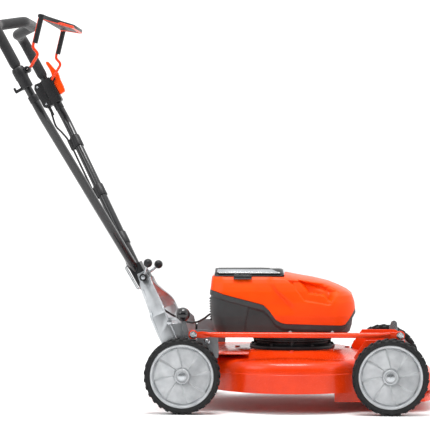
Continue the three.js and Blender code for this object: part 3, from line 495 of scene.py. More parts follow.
def bowl_wall(inset):
    """The pressed section from lip to crown."""
    r, top = BOWL_R - inset, CROWN_Z - inset
    crease = top - 52
    wall = [(r, LIP_Z), (r, crease - 4), (r - 1.6, crease - 2), (r - 1.8, crease + 3)]
    shoulder = []
    for i in range(9):
        t = i / 8
        shoulder.append((r - 1.8 - 37 * t ** 2, crease + 3 + 31 * (1 - (1 - t) ** 2)))
    slope = [(r - 38.8 - 60 * t, crease + 34 + 15 * t ** 1.3 + 3 * t ** 6)
             for t in (0.25, 0.5, 0.75, 0.92, 1.0)]
    return wall + shoulder + slope


outer = turned("deck_outer", [(0.01, LIP_Z)] + bowl_wall(0) + [(0.01, CROWN_Z)], (0, 0, 1), bowl_centre,
               powder_orange, 112)
APRON_FRONT = (deck_high.x - REAR_HUB.x) / MM
APRON_TOP = 106
APRON_HALF = 182
BOWL_DESIGN_X = (BOWL_X - REAR_HUB.x) / MM


def apron_outline(inset):
    half, front = APRON_HALF - inset, APRON_FRONT - inset
    edge = [(BOWL_DESIGN_X + 120, -half)]
    for i in range(17):
        t = i / 16
        y = -half + 4 + (2 * half - 8) * t
        bulge = 1 - (2 * t - 1) ** 4
        edge.append((front - 74 + 74 * bulge ** 0.5, y))
    return edge + [(BOWL_DESIGN_X + 120, half)]


def apron_solid(name, inset, low, high, soft):
    rings = []
    for z, extra in ((low, 0), (high - soft, 0), (high - soft * 0.3, soft * 0.3), (high, soft)):
        rings.append([deck_at(x, y, z) for x, y in apron_outline(inset + extra)])
    return lofted(name, rings, powder_orange)


PLATE_TOP = 161
PLATE_BACK = (deck_low.x - REAR_HUB.x) / MM
PLATE_HALF = 184
carve(outer, apron_solid("apron", 0, LIP_Z, APRON_TOP, 9), "UNION")
rear_plate = block("rear_plate", (PLATE_BACK, BOWL_DESIGN_X - 120), (-PLATE_HALF, PLATE_HALF),
                   (PLATE_TOP - SHEET, PLATE_TOP), powder_orange)
FLAP_LOW = 78
rear_flap = block("rear_flap", (PLATE_BACK, PLATE_BACK + SHEET), (-PLATE_HALF, PLATE_HALF),
                  (FLAP_LOW, PLATE_TOP), powder_orange)
carve(outer, rear_plate, "UNION")
carve(outer, rear_flap, "UNION")
BELOW = 30
inner = [(0.01, LIP_Z - BELOW), (BOWL_R - SHEET, LIP_Z - BELOW)]
inner += bowl_wall(SHEET) + [(0.01, CROWN_Z - SHEET)]
carve(outer, turned("bowl_room", inner, (0, 0, 1), bowl_centre, powder_orange, 112))
carve(outer, apron_solid("apron_room", SHEET, LIP_Z - BELOW, APRON_TOP - SHEET, 8))
shaft_hole = turned("shaft_hole", [(0.01, CROWN_Z - 20), (26, CROWN_Z - 20), (26, CROWN_Z + 8),
                                   (0.01, CROWN_Z + 8)], (0, 0, 1), bowl_centre, powder_orange, 48)
carve(outer, shaft_hole)
outer.name = "deck_surface"
place_on(settle(outer, bevel=0.7, segments=2, sharp=30, angle=math.radians(50)), "deck", "orange_paint",
         "deck_shell")
lip = turned("deck_lip", [(BOWL_R - 2 + r, LIP_Z + 1.6 + h) for r, h in circle(1.9, 10)], (0, 0, 1),
             bowl_centre, powder_orange, 112)
place_on(settle(lip), "deck", "orange_paint")
print("deck triangles", len(outer.data.polygons))

# %% [markdown]
# ## Bolts on the deck
# The motor's mounting disc is held by flanged hex bolts, and the brackets by the same bolt. One
# bolt is modelled with its washer face and chamfered head, and the ring tree copies it.

# %% One flanged bolt, and rings of it
def hex_bolt(name, radius, height, place, material, axis=(0, 0, 1)):
    """A hex head on a flange, standing along an axis from place."""
    aim = Vector((0, 0, 1)).rotation_difference(Vector(axis)).to_matrix()

    def ring(r, h, flats=True):
        points = []
        for i in range(24):
            angle = 2 * math.pi * i / 24
            from_flat = (angle % (math.pi / 3)) - math.pi / 6
            reach = r * (math.cos(math.pi / 6) / math.cos(from_flat)) if flats else r
            points.append(place + aim @ Vector((reach * math.cos(angle), reach * math.sin(angle), h)) * MM)
        return points

    flange = radius * 1.32
    rings = [ring(flange, 0, False), ring(flange, height * 0.16, False),
             ring(radius * 1.08, height * 0.28, False), ring(radius, height * 0.3),
             ring(radius, height * 0.86), ring(radius * 0.84, height)]
    return settle(lofted(name, rings, material), sharp=28)


motor_low, motor_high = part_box("motor_base")
FLANGE_R = (motor_high.y - motor_low.y) / 2 / MM
flange_bolt = hex_bolt("flange_bolt", 4.6, 5, Vector((FLANGE_R * 0.93 * MM, 0, 0)), satin_black)
bolts = repeated("motor_flange_bolts", ring_tree, flange_bolt, 6, (0, 0, 1),
                 (BOWL_X, 0, motor_low.z + 10.5 * MM), satin_black)
place_on(settle(bolts, sharp=28), "deck", "black_paint")
crown_bolt = hex_bolt("crown_bolt", 7, 8, Vector((158 * MM, 0, 0)), powder_orange)
crown = repeated("deck_crown_bolts", ring_tree, crown_bolt, 8, (0, 0, 1), (BOWL_X, 0, (CROWN_Z - 4.5) * MM),
                 powder_orange)
place_on(settle(crown, sharp=28), "deck", "orange_paint")
print("bolt rings made")

# %% [markdown]
# ## The motor
# A brushless motor stands straight on the deck. From outside it is two cast discs with a ribbed can
# between them, kept off the deck by short posts so that cooling air can leave underneath.

# %% Mounting disc, can, posts and fins
can_low, can_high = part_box("motor_can")
base_z, top_z = motor_low.z / MM, can_high.z / MM
mid_z = can_low.z / MM
CAN_R = (can_high.y - can_low.y) / 2 / MM
axis_foot = Vector((BOWL_X, 0, 0))
base_section = [(18, base_z), (FLANGE_R, base_z), (FLANGE_R, base_z + 9), (FLANGE_R - 3, base_z + 10.5),
                (FLANGE_R - 9, base_z + 10.5), (FLANGE_R - 12, base_z + 13.4), (75, base_z + 13.4),
                (75, base_z + 5), (18, base_z + 5)]
motor_disc = turned("motor_disc", base_section, (0, 0, 1), axis_foot, satin_black)
place_on(settle(motor_disc, bevel=0.6), "deck", "black_paint", "motor_base")
can_section = [(80, mid_z), (CAN_R - 9, mid_z), (CAN_R - 9, mid_z + 6), (CAN_R - 1, mid_z + 9),
               (CAN_R - 1, mid_z + 13), (CAN_R - 3, mid_z + 14), (CAN_R - 1, mid_z + 15),
               (CAN_R - 1, top_z - 6), (CAN_R - 9, top_z), (18, top_z), (18, top_z - 6), (80, top_z - 6)]
can = turned("motor_shell", can_section, (0, 0, 1), axis_foot, satin_black)
place_on(settle(can, bevel=0.5), "deck", "black_paint", "motor_can")
fin = block("fin", (CAN_R - 3, CAN_R - 0.4), (-1.2, 1.2), (0, 14), satin_black, seed_at)
fins = repeated("motor_fins", ring_tree, settle(fin, bevel=0.4), 40, (0, 0, 1), (BOWL_X, 0, (mid_z + 9) * MM),
                satin_black)
place_on(settle(fins), "deck", "black_paint")
post = turned("post", [(0.01, 0), (5.5, 0), (5.5, 29), (0.01, 29)], (0, 0, 1),
              Vector((106 * MM, 0, 0)), satin_black, 20)
posts = repeated("motor_posts", ring_tree, post, 4, (0, 0, 1), (BOWL_X, 0, (base_z + 11) * MM), satin_black)
place_on(settle(posts), "deck", "black_paint")
for node, material, slot in (("motor_shaft", plated_bolt, "steel"), ("blade_adapter", plated_bolt, "steel"),
                             ("blade", blade_steel, "steel"), ("blade_bolt", plated_bolt, "steel")):
    place_on(refined(node, material, 0.5), "blade_set", slot, node)
print("motor and blade made")

# %% [markdown]
# ## The motor housing
# Two mouldings meet on a stepped parting line: a dark tub below and an orange cover above. Their
# common outside is a stack of rounded rectangles. The grip pocket and the long crease are pushed
# into that stack by a rule, so both mouldings and their inner walls follow the same shape.

# %% The outside shape and what is pushed into it
HOUSE_LEVELS = [(208, 88, 462, 126, 40, 70), (216, 81, 472, 131, 42, 72), (236, 73, 478, 137, 44, 74),
                (262, 67, 481, 140, 45, 76), (300, 67, 477, 140, 45, 76), (318, 67, 471, 138, 45, 78),
                (330, 68, 456, 136, 45, 80), (342, 70, 432, 132, 44, 82), (354, 71, 402, 127, 42, 82),
                (364, 72, 360, 121, 40, 80), (371, 73, 318, 114, 38, 70), (377, 76, 286, 104, 34, 50)]
SEAM = [(40, 336), (70, 335), (86, 330), (108, 322), (205, 297), (220, 293), (238, 276), (255, 252),
        (270, 243), (284, 240), (440, 236), (450, 238), (464, 256), (480, 284), (510, 314)]
WALL = 3.0


def between(table, key):
    """Straight-line values between the rows of a table sorted by its first column."""
    for low, high in zip(table, table[1:]):
        if key <= high[0]:
            t = max(0.0, (key - low[0]) / (high[0] - low[0]))
            return [a + (b - a) * t for a, b in zip(low[1:], high[1:])]
    return list(table[-1][1:])


def smoothstep(low, high, value):
    t = min(max((value - low) / (high - low), 0.0), 1.0)
    return t * t * (3 - 2 * t)


def inside_by(outline, x, z):
    """How far a point lies inside a convex outline, in mm; negative outside."""
    nearest = 1e9
    for (ax, az), (bx, bz) in zip(outline, outline[1:] + outline[:1]):
        length = math.hypot(bx - ax, bz - az)
        nearest = min(nearest, ((bx - ax) * (z - az) - (bz - az) * (x - ax)) / length)
    return nearest


POCKET_WIDE = [(290, 364), (334, 304), (406, 291), (433, 330), (402, 352)]
POCKET_DEEP = [(318, 364), (347, 323), (388, 318), (412, 332), (396, 349)]
POCKET_END = [(384, 322), (408, 297), (431, 331), (402, 350)]


def pushed_in(x, z):
    """Depth in mm of the pocket, the crease and the panel at a place on the flank."""
    ledge = 7.5 * smoothstep(0, 4.0, inside_by(POCKET_WIDE, x, z))
    deep = smoothstep(0, 5.0, inside_by(POCKET_DEEP, x, z))
    hollow = 21 * max(deep, smoothstep(0, 9.0, inside_by(POCKET_END, x, z)))
    crease_x = 308 - 62 * smoothstep(276, 362, z)
    crease = 6.5 * smoothstep(-4, 15, crease_x - x) * smoothstep(262, 300, z)
    return ledge + hollow + crease


def tub_step(x, z, seam):
    """The tub's flank: a lighter band under the seam, then a step in to the side panel."""
    drop = seam - z
    band = 4.0 * smoothstep(14, 17, drop)
    slant = 164 + 0.16 * (z - 210)
    recess = 4.2 * smoothstep(slant, slant + 3, x) * smoothstep(17, 20, drop)
    return band + recess


def house_ring(z, inset=0.0, count=22, straight=96, tub=False):
    rear, front, half, rear_corner, front_corner = between(HOUSE_LEVELS, z)
    corners = [(front - front_corner, half - front_corner, front_corner, 0),
               (rear + rear_corner, half - rear_corner, rear_corner, 90),
               (rear + rear_corner, -half + rear_corner, rear_corner, 180),
               (front - front_corner, -half + front_corner, front_corner, 270)]
    outline = []
    for i, (cx, cy, radius, start) in enumerate(corners):
        for k in range(count):
            turn = math.radians(start + 90 * k / count)
            outline.append((cx + radius * math.cos(turn), cy + radius * math.sin(turn), math.cos(turn),
                            math.sin(turn)))
        nx, ny, nr, _ = corners[(i + 1) % 4]
        turn = math.radians(start + 90)
        start_point = (cx + radius * math.cos(turn), cy + radius * math.sin(turn))
        end_point = (nx + nr * math.cos(turn), ny + nr * math.sin(turn))
        for k in range(straight):
            t = k / straight
            outline.append((start_point[0] + (end_point[0] - start_point[0]) * t,
                            start_point[1] + (end_point[1] - start_point[1]) * t, math.cos(turn),
                            math.sin(turn)))
    ring = []
    for x, y, nx, ny in outline:
        seam = between(SEAM, x)[0]
        push = tub_step(x, z, seam) if tub else pushed_in(x, z)
        flank = smoothstep(0.5, 0.9, abs(ny)) if not tub else 1.0
        depth = inset + push * flank
        ring.append((x - nx * depth, y - ny * depth))
    return ring


HOUSE_FOOT, HOUSE_TOP = 208, 377
LEVEL_STEP = 1.69


def house_solid(name, material, inset, tub=False):
    levels = [HOUSE_FOOT + LEVEL_STEP * i for i in range(101)]
    rings = []
    for z in levels:
        height = z + inset if z == levels[0] else z
        height = z - inset if z == levels[-1] else height
        outline = house_ring(min(z, HOUSE_TOP), inset, tub=tub)
        rings.append([deck_at(x, y, min(height, HOUSE_TOP)) for x, y in outline])
    return lofted(name, rings, material)


FAR_DOWN, FAR_UP, FAR_SIDE = 150, 460, 200


def seam_tool(name, gap, below):
    """All the room on one side of the parting line, to cut a moulding with."""
    line = [(x, z + gap) for x, z in SEAM]
    rear, front = SEAM[0][0], SEAM[-1][0]
    if below:
        outline = line[::-1] + [(rear, FAR_DOWN), (front, FAR_DOWN)]
    else:
        outline = line + [(front, FAR_UP), (rear, FAR_UP)]
    return plate(name, outline, -FAR_SIDE, FAR_SIDE, abs_orange)


print("housing rules ready")

# %% Cut the tub and the cover from it
tub = house_solid("tub_surface", pp_grey, 0, tub=True)
carve(tub, house_solid("tub_room", pp_grey, WALL + 1.5, tub=True))
carve(tub, seam_tool("tub_side", -0.5, True), "INTERSECT")
carve(tub, turned("tub_shaft_hole", [(0.01, 200), (30, 200), (30, 216), (0.01, 216)], (0, 0, 1),
                  axis_foot, pp_grey, 48))
place_on(settle(tub, bevel=0.7, sharp=32, angle=math.radians(55)), "deck", "grey_plastic", "lower_housing")
LID_SEAT = 371
lid_low, lid_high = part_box("battery_lid")
LID_FRONT = (lid_high.x - REAR_HUB.x) / MM
LID_REAR = (lid_low.x - REAR_HUB.x) / MM
LID_HALF = 100
cover = house_solid("cover_surface", abs_orange, 0)
carve(cover, house_solid("cover_room", abs_orange, WALL))
carve(cover, seam_tool("cover_side", 0.5, False), "INTERSECT")
carve(cover, block("lid_recess", (40, LID_FRONT + 0.3), (-200, 200), (LID_SEAT, 420), abs_orange))
carve(cover, block("battery_bay", (84, LID_FRONT - 8), (-92, 92), (340, 420), abs_orange))
place_on(settle(cover, bevel=0.8, sharp=34, angle=math.radians(50)), "deck", "orange_plastic", "top_cover")
print("tub", len(tub.data.polygons), "cover", len(cover.data.polygons), "faces")

# %% [markdown]
# ## Louvre, cover screws and the side panel
# Air enters through horizontal bars across the tub's back. Each bar is the same small wedge, so the
# row tree steps one wedge up the wall.

# %% The rear louvre
louvre_profile = [(0, 0), (-5.5, 1.5), (-5.5, 3.2), (0, 5.2)]
LOUVRE_HALF = 84
bar = plate("bar", louvre_profile, -LOUVRE_HALF, LOUVRE_HALF, pp_dark, seed_at)
louvre = repeated("rear_louvre", row_tree, settle(bar, bevel=0.5), 9, (-0.0002, 0, 0.0074),
                  deck_at(72, 0, 246), pp_dark)
place_on(settle(louvre), "deck", "grey_plastic")
screw = turned("screw", [(0.01, 0), (4.2, 0), (4.0, 1.6), (2.8, 2.6), (1.6, 2.7), (1.4, 1.6),
                         (0.01, 1.6)], (0, -1, 0), Vector((0, 0, 0)), plated_bolt, 20)
for side, sign in SIDES:
    copy = bpy.data.objects.new("screw_seed_" + side, screw.data.copy())
    scene.collection.objects.link(copy)
    if sign > 0:
        copy.data.transform(Matrix.Rotation(math.pi, 4, "Z"))
    row = repeated("tub_screws_" + side, row_tree, copy, 2, (0.118, 0, 0),
                   deck_at(296, sign * 133.2, 217), plated_bolt)
    place_on(settle(row), "deck", "zinc")
bpy.data.objects.remove(screw)
print("louvre bars placed")

# %% [markdown]
# ## The battery lid
# A black gloss frame carries a black panel between silver flanks. The frame slopes to the front,
# has a chamfer all round that catches the light, and a tab under the long side for a fingertip.

# %% Lid frame, panel and tab
def soft_rectangle(x0, x1, half, radius, steps=6):
    corners = [(x1 - radius, half - radius, 0), (x0 + radius, half - radius, 90),
               (x0 + radius, -half + radius, 180), (x1 - radius, -half + radius, 270)]
    return [point for cx, cy, start in corners for point in arc(cx, cy, radius, start, start + 90, steps)]


def lid_ring(z, x0, x1, half, radius, lean=0.0):
    """lean drops the front of the ring, in mm over its last 30 mm."""
    ring = []
    for x, y in soft_rectangle(x0, x1, half, radius):
        drop = lean * smoothstep(x1 - 30, x1, x)
        ring.append(deck_at(x, y, z - drop))
    return ring


LID_Z = lid_low.z / MM
LID_TOP = lid_high.z / MM
frame_rings = [lid_ring(LID_Z, LID_REAR, LID_FRONT, LID_HALF, 14),
               lid_ring(LID_Z + 9, LID_REAR, LID_FRONT, LID_HALF, 14),
               lid_ring(LID_Z + 10.5, LID_REAR + 0.8, LID_FRONT - 0.8, LID_HALF - 0.8, 14),
               lid_ring(LID_TOP - 2.4, LID_REAR + 1.6, LID_FRONT - 3, LID_HALF - 15, 12, lean=1.5),
               lid_ring(LID_TOP - 0.6, LID_REAR + 3.4, LID_FRONT - 5.5, LID_HALF - 18, 11, lean=1.5)]
lid = lofted("lid_frame", frame_rings, lid_black)
carve(lid, block("lid_room", (84, LID_FRONT - 8), (-LID_HALF + 5, LID_HALF - 5), (300, LID_Z + 4), lid_black))
lid = settle(lid, bevel=0.8, segments=3, sharp=45)
TAB_SPAN = (136, 187)
tab_top = block("lid_tab", TAB_SPAN, (-LID_HALF - 23.4, -LID_HALF + 3), (LID_Z + 0.6, LID_Z + 6), lid_black)
tab_lip = block("lid_tab_lip", TAB_SPAN, (-LID_HALF - 23.4, -LID_HALF - 21.6),
                (LID_Z - 6.5, LID_Z + 2), lid_black)
tab = welded("lid_tab", [settle(tab_top, bevel=1.2, segments=3), settle(tab_lip, bevel=0.7, segments=3)])
knuckle_low = JOINT_AT["battery_lid_hinge"]
barrel = turned("lid_barrel", [(0.01, -85), (5, -85), (5, 85), (0.01, 85)], (1, 0, 0), knuckle_low,
                lid_black, 24)
lid = welded("lid_surface", [lid, tab, settle(barrel, bevel=0.5)])
place_on(settle(lid, sharp=45), "lid", "gloss_lid", "battery_lid")
panel_rings = []
for k, (lift, out) in enumerate(((0.0, 0), (1.5, 0.5), (1.9, 1.4))):
    ring = []
    for x, y in soft_rectangle(LID_REAR + 10 + out, LID_FRONT - 40 - out, LID_HALF - 24 - out, 9):
        ring.append(deck_at(x, y, LID_TOP - 1.6 + lift))
    panel_rings.append(ring)
panel = settle(lofted("lid_panel", panel_rings, lid_black), sharp=40)
place_on(panel, "lid", "gloss_lid")
for side, sign in SIDES:
    flank = []
    for lift in (0.0, 0.6):
        ring = []
        for x, t in ((LID_REAR + 8, 0), (LID_FRONT - 16, 0), (LID_FRONT - 34, 1), (LID_REAR + 9, 1)):
            y = LID_HALF - 2.6 - 11.0 * t + lift
            z = LID_Z + 11.6 + 7.9 * t + lift
            ring.append(deck_at(x, sign * y, z))
        flank.append(ring)
    bevelled = settle(lofted("lid_flank_" + side, flank, lid_silver), bevel=0.2)
    place_on(bevelled, "lid", "gloss_lid")
for node, material in (("battery_pack", shrink_label), ("battery_rail", pp_dark),
                       ("motor_controller", board_potting)):
    place_on(refined(node, material, 2.0, segments=3), "deck", "black_plastic", node)
print("lid made")

# %% [markdown]
# ## Wheels
# Each wheel is a silver moulding with a rubber tyre pressed over it. The disc is shaped like eight
# fan blades: every sector climbs a few millimetres and drops back at a thin step, which stiffens it.
# The disc is laid out on a polar grid by that rule. The tread is one lug, copied round by the ring
# tree in three staggered rows.

# %% Disc, barrel and hub of a wheel, laid out about its own axle
TYRE_R = (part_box("tyre_rear_r")[1].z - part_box("tyre_rear_r")[0].z) / 2 / MM
RIM_R = 88.2
BLADES = 8
BLADE_RISE = 4.2
HUB_RING = 21
WEB_R = 79
origin = Vector((0, 0, 0))


def blade_height(radius, turn):
    """Height of the fan-blade surface over the disc at a radius and an angle."""
    share = ((turn - math.radians(14) * (radius - HUB_RING) / WEB_R) / (2 * math.pi / BLADES)) % 1.0
    fall = min(share / 0.035, 1.0)
    edge = smoothstep(HUB_RING - 1, HUB_RING + 5, radius) * (1 - smoothstep(WEB_R - 3, WEB_R + 1, radius))
    return BLADE_RISE * edge * (1 - share) * fall


def fan_disc(name):
    """The front skin and the flat back of the disc, closed at hub and rim."""
    radii = [14, 18, 21, 23, 26, 32, 40, 50, 60, 68, 73, 76, 78, 80]
    turns = 192
    rings = []
    for i in range(turns):
        turn = 2 * math.pi * i / turns
        across = Vector((math.cos(turn), 0, math.sin(turn)))
        front = [across * r * MM + Vector((0, -(5.0 + blade_height(r, turn)) * MM, 0)) for r in radii]
        back = [across * r * MM + Vector((0, 3.0 * MM, 0)) for r in reversed(radii)]
        rings.append(front + back)
    return settle(lofted(name, rings, wheel_silver, closed=True), sharp=24)


def wheel_parts():
    """Barrel, hub and disc with the outer face towards -Y."""
    disc = fan_disc("disc")
    barrel = turned("barrel", [(RIM_R, -17.6), (RIM_R, 17.6), (82, 17.6), (79.5, 4), (79.5, -6), (80.5, -12),
                               (82.5, -18.6), (85, -19.6), (87.4, -19.4)], (0, 1, 0), origin, wheel_silver)
    hub = turned("hub", [(6.4, -13.2), (12.6, -13.2), (13.4, -12.2), (15.6, -12.2), (16.4, -13.8),
                         (19.4, -13.8), (21, -12.4), (21.6, -6), (21.6, 6), (18, 17), (6.4, 17)],
                 (0, 1, 0), origin, wheel_silver, 64)
    return welded("rim", [disc, settle(barrel, bevel=0.4), settle(hub, bevel=0.4)])


def tyre_parts():
    body = turned("tyre_body", [(RIM_R + 0.3, -19.8), (94, -22), (98, -22), (100.6, -19.5), (101, -14),
                                (101, 14), (100.6, 19.5), (98, 22), (94, 22), (RIM_R + 0.3, 19.8)],
                  (0, 1, 0), origin, tyre_rubber, 120)
    rows = [settle(body, sharp=50)]
    for row, (y0, y1, turn) in enumerate(((-22.3, -2.5, 0.0), (2.5, 22.3, 0.5), (-6, 6, 0.25))):
        outer_edge = 1 if row == 1 else 0
        lug_low = [(-5.6, 99), (5.6, 99), (4.4, TYRE_R), (-4.4, TYRE_R)]
        rings = []
        for y, narrow in ((y0, 1.0 if outer_edge else 0.55), (y0 + 2.2, 1.0), (y1 - 2.2, 1.0),
                          (y1, 0.55 if outer_edge else 1.0)):
            height = 0 if narrow == 1.0 else -2.6
            skew = 0.16 * (y - (y0 + y1) / 2) * (1 if row == 1 else -1)
            rings.append([Vector(((x + skew) * MM, y * MM, -(z + (height if z > 100 else 0)) * MM))
                          for x, z in lug_low])
        lug = settle(lofted("lug", rings, tyre_rubber), bevel=0.5)
        lug.data.transform(Matrix.Rotation(turn * 2 * math.pi / LUGS, 4, "Y"))
        rows.append(repeated("lugs", ring_tree, lug, LUGS, (0, 1, 0), (0, 0, 0), tyre_rubber))
    return welded("tyre", rows)


LUGS = 30
rim_seed = wheel_parts()
tyre_seed = tyre_parts()
for end, hub_at in (("rear", REAR_HUB), ("front", FRONT_HUB)):
    for side, sign in SIDES:
        name = f"{end}_{side}"
        place = Matrix.Translation((hub_at.x, sign * abs(hub_at.y), hub_at.z))
        if sign > 0:
            place = place @ Matrix.Rotation(math.pi, 4, "Z")
        for seed, part, slot in ((rim_seed, "rim", "rim"), (tyre_seed, "tyre", "tyre")):
            piece = bpy.data.objects.new(f"{part}_{name}_surface", seed.data.copy())
            scene.collection.objects.link(piece)
            piece.data.transform(place)
            place_on(piece, "wheel_" + name, slot, f"{part}_{name}")
print("tyre", len(tyre_seed.data.polygons), "rim", len(rim_seed.data.polygons), "faces each")
bpy.data.objects.remove(rim_seed)
bpy.data.objects.remove(tyre_seed)

# %% [markdown]
# ## Axles, link bar and height lever
# Both axles are bent from bar with a flat bell-crank plate, so their CAD outline is right already
# and only wants broken edges. The link bar is a round rod with hammered, drilled eyes, and the nuts
# on the spindles get a proper flanged head.

# %% Axles and nuts
for end, hub_at in (("rear", REAR_HUB), ("front", FRONT_HUB)):
    body = end + "_crank"
    place_on(refined(end + "_axle", plated_bolt, 0.7), body, "zinc", end + "_axle")
    low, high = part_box(end + "_axle")
    for side, sign in SIDES:
        face = high.y - 7.4 * MM
        nut = hex_bolt(f"wheel_nut_{end}_{side}", 8.6, 7.2, Vector((hub_at.x, sign * face, hub_at.z)),
                       plated_bolt, (0, sign, 0))
        place_on(nut, body, "zinc")
    place_on(refined(end + "_link_bolt", plated_bolt, 0.5), body, "zinc", end + "_link_bolt")
PIN = middle("rear_link_bolt")
ROD_TRIM = 0.028
PIN_FRONT = middle("front_link_bolt")
link_y = middle("link_bar").y
link_z = PIN.z
EYE_R = 13
ends = []
for pin, toward in ((PIN, 1), (PIN_FRONT, -1)):
    turns = [math.radians(35 + 290 * i / 22) for i in range(23)]
    outline = [(EYE_R * math.cos(t), EYE_R * math.sin(t)) for t in turns]
    outline = outline + [(26, -9.4), (40, -7.4), (46, -7.2), (46, 7.2), (40, 7.4), (26, 9.4)]
    solid = plate("eye", outline, -3.0, 3.0, powder_orange,
                  lambda x, y, z: Vector((pin.x + toward * x * MM, link_y + y * MM, link_z + z * MM)))
    hole = turned("eye_hole", [(0.01, -9), (4.4, -9), (4.4, 9), (0.01, 9)], (0, 1, 0),
                  Vector((pin.x, link_y, link_z)), powder_orange, 32)
    ends.append(settle(carve(solid, hole), bevel=0.9, segments=3))


def link_section(share):
    """Round along the rod, flattened towards each eye."""
    near_end = min(share, 1 - share) * (PIN_FRONT.x - PIN.x - 2 * ROD_TRIM) / MM
    flat = 1 - smoothstep(0, 34, near_end)
    return [(a * (1 - 0.58 * flat), b * (1 + 0.05 * flat)) for a, b in circle(7.5, 24)]


rod_run = PIN_FRONT.x - PIN.x - 2 * ROD_TRIM
rod_line = [Vector((PIN.x + ROD_TRIM + rod_run * i / 60, link_y, link_z)) for i in range(61)]
rod = swept("rod", rod_line, link_section, powder_orange)
link = welded("link_surface", ends + [settle(rod, sharp=60)])
place_on(link, "link", "orange_paint", "link_bar")
for pin, toward, body in ((PIN, 1, "rear_crank"), (PIN_FRONT, -1, "front_crank")):
    head = hex_bolt("link_head_" + body, 7.6, 6, Vector((pin.x, link_y - 3.4 * MM, link_z)), plated_bolt,
                    (0, -1, 0))
    place_on(head, body, "zinc")
place_on(refined("height_lever", powder_grey, 0.8), "rear_crank", "grey_paint", "height_lever")
knob_at = middle("height_knob")
knob_r = (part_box("height_knob")[1].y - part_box("height_knob")[0].y) / 2 / MM
ball_section = [(0.01, -knob_r * 0.93), (7.5, -knob_r * 0.93), (8.4, -knob_r * 0.9)]
ball_section += half_round(knob_r, 32, 6) + [(0.01, knob_r)]
lean_of_knob = Vector((-0.16, 0, 1))
knob = turned("knob_surface", ball_section, lean_of_knob, knob_at, phenolic_black, 48)
place_on(settle(knob, sharp=50), "rear_crank", "black_plastic", "height_knob")
print("axles, link and lever made")

# %% [markdown]
# ## Brackets at the deck's corners
# These are blanked and bent from sheet, so each keeps its flat CAD outline with the slight burr
# radius of a press tool. Hex bolts and a folded edge are added where the real plates have them.

# %% Brackets and their bolts
for side, sign in SIDES:
    place_on(refined("rear_bracket_" + side, powder_grey, 0.9), "deck", "grey_paint", "rear_bracket_" + side)
    place_on(refined("front_bracket_" + side, powder_orange, 0.9), "deck", "orange_paint",
             "front_bracket_" + side)
    place_on(refined("angle_plate_" + side, zinc_plate, 0.8), "deck", "zinc", "angle_plate_" + side)
    for label, x, z, face in (("rear", 65, 196, 192.5), ("front", 520, 165, 190)):
        bolt = hex_bolt(f"{label}_bracket_bolt_{side}", 6.5, 5, deck_at(x, sign * face, z), plated_bolt,
                        (0, sign, 0))
        place_on(bolt, "deck", "zinc")
    place_on(refined("handle_bracket_" + side, zinc_plate, 0.9), "handle_base", "zinc",
             "handle_bracket_" + side)
    place_on(refined("tilt_bolt_" + side, plated_bolt, 0.4), "handle_base", "zinc", "tilt_bolt_" + side)
place_on(refined("tilt_rod", plated_bolt, 0.4), "deck", "zinc", "tilt_rod")
place_on(refined("fold_bolt", plated_bolt, 0.6), "handle_base", "zinc", "fold_bolt")
BRACKET_PATH = [(-18, 192, 147), (-50, 192, 218), (-72, 192, 268), (-81, 168, 289), (-112, 64, 334),
                (-122, 44, 358), (-133, 44, 380)]
BRACKET_HALF = [19, 21.5, 21, 20, 17, 16, 13]
for side, sign in SIDES:
    for edge, toward in (("back", -1), ("fore", 1)):
        line = []
        for i, ((x, y, z), half) in enumerate(zip(BRACKET_PATH[:6], BRACKET_HALF)):
            ahead = BRACKET_PATH[i + 1]
            run = Vector((ahead[0] - x, 0, ahead[2] - z)).normalized()
            across = Vector((-run.z, 0, run.x)) * -1
            line.append(deck_at(x + across.x * (half - 1.4) * toward, sign * (y - 3.4),
                                z + across.z * (half - 1.4) * toward))
        flange = swept(f"bracket_flange_{edge}_{side}", smooth_line(line, 5),
                       [(-1.5, -4.4), (1.5, -4.4), (1.5, 4.4), (-1.5, 4.4)], zinc_plate)
        place_on(settle(flange, bevel=0.7), "handle_base", "zinc")
print("brackets made")

# %% [markdown]
# ## Fold block, clamping levers and the catch wire
# The tubes end in a moulded block that turns on the fold bolt. Two ball-ended levers squeeze it,
# and a spring wire behind it hooks over the brackets.

# %% The fold joint's pieces
place_on(refined("fold_block", nylon_black, 1.6, segments=3), "handle", "black_plastic", "fold_block")
BALL_R = 12.5
for side, sign, ball_x, ball_z in (("r", -1, 14.5, 41), ("l", 1, 34, 32)):
    fold_x, fold_z = (FOLD.x - REAR_HUB.x) / MM, FOLD.z / MM
    hub = turned("clamp_hub", [(6.6, -6.5), (11, -6.5), (11, 4), (9.5, 6.5), (6.6, 6.5)], (0, sign, 0),
                 deck_at(fold_x, sign * 52, fold_z), nylon_black, 40)
    stem_line = smooth_line([deck_at(fold_x + 3, sign * 54, fold_z + 8),
                             deck_at(fold_x + ball_x * 0.5, sign * 55, fold_z + ball_z * 0.5),
                             deck_at(fold_x + ball_x, sign * 62, fold_z + ball_z)], 8)
    stem = swept("clamp_stem", stem_line, circle(4, 16), plated_bolt)
    ball_section = [(0.01, -BALL_R)] + half_round(BALL_R, 12, 8) + [(0.01, BALL_R)]
    ball_at = deck_at(fold_x + ball_x, sign * 62, fold_z + ball_z)
    ball = turned("clamp_ball", ball_section, (0.3, 0, 1), ball_at, phenolic_black, 40)
    place_on(settle(stem), "clamp_" + side, "black_plastic")
    grip = welded("clamp_surface_" + side, [settle(hub, bevel=0.6), settle(ball)])
    place_on(grip, "clamp_" + side, "black_plastic", "clamp_lever_" + side)
wire_half = [(-24, 6, 55), (-24, 17, 55), (-37, 17, 48), (-35, 17, -24), (-22, 17, -21)]
wire_points = [handle_at(x, -y, z) for x, y, z in wire_half]
wire_points += [handle_at(x, y, z) for x, y, z in reversed(wire_half)]
catch = swept("catch_wire", rounded(wire_points, 0.005, 5), circle(1.5, 12), plated_bolt)
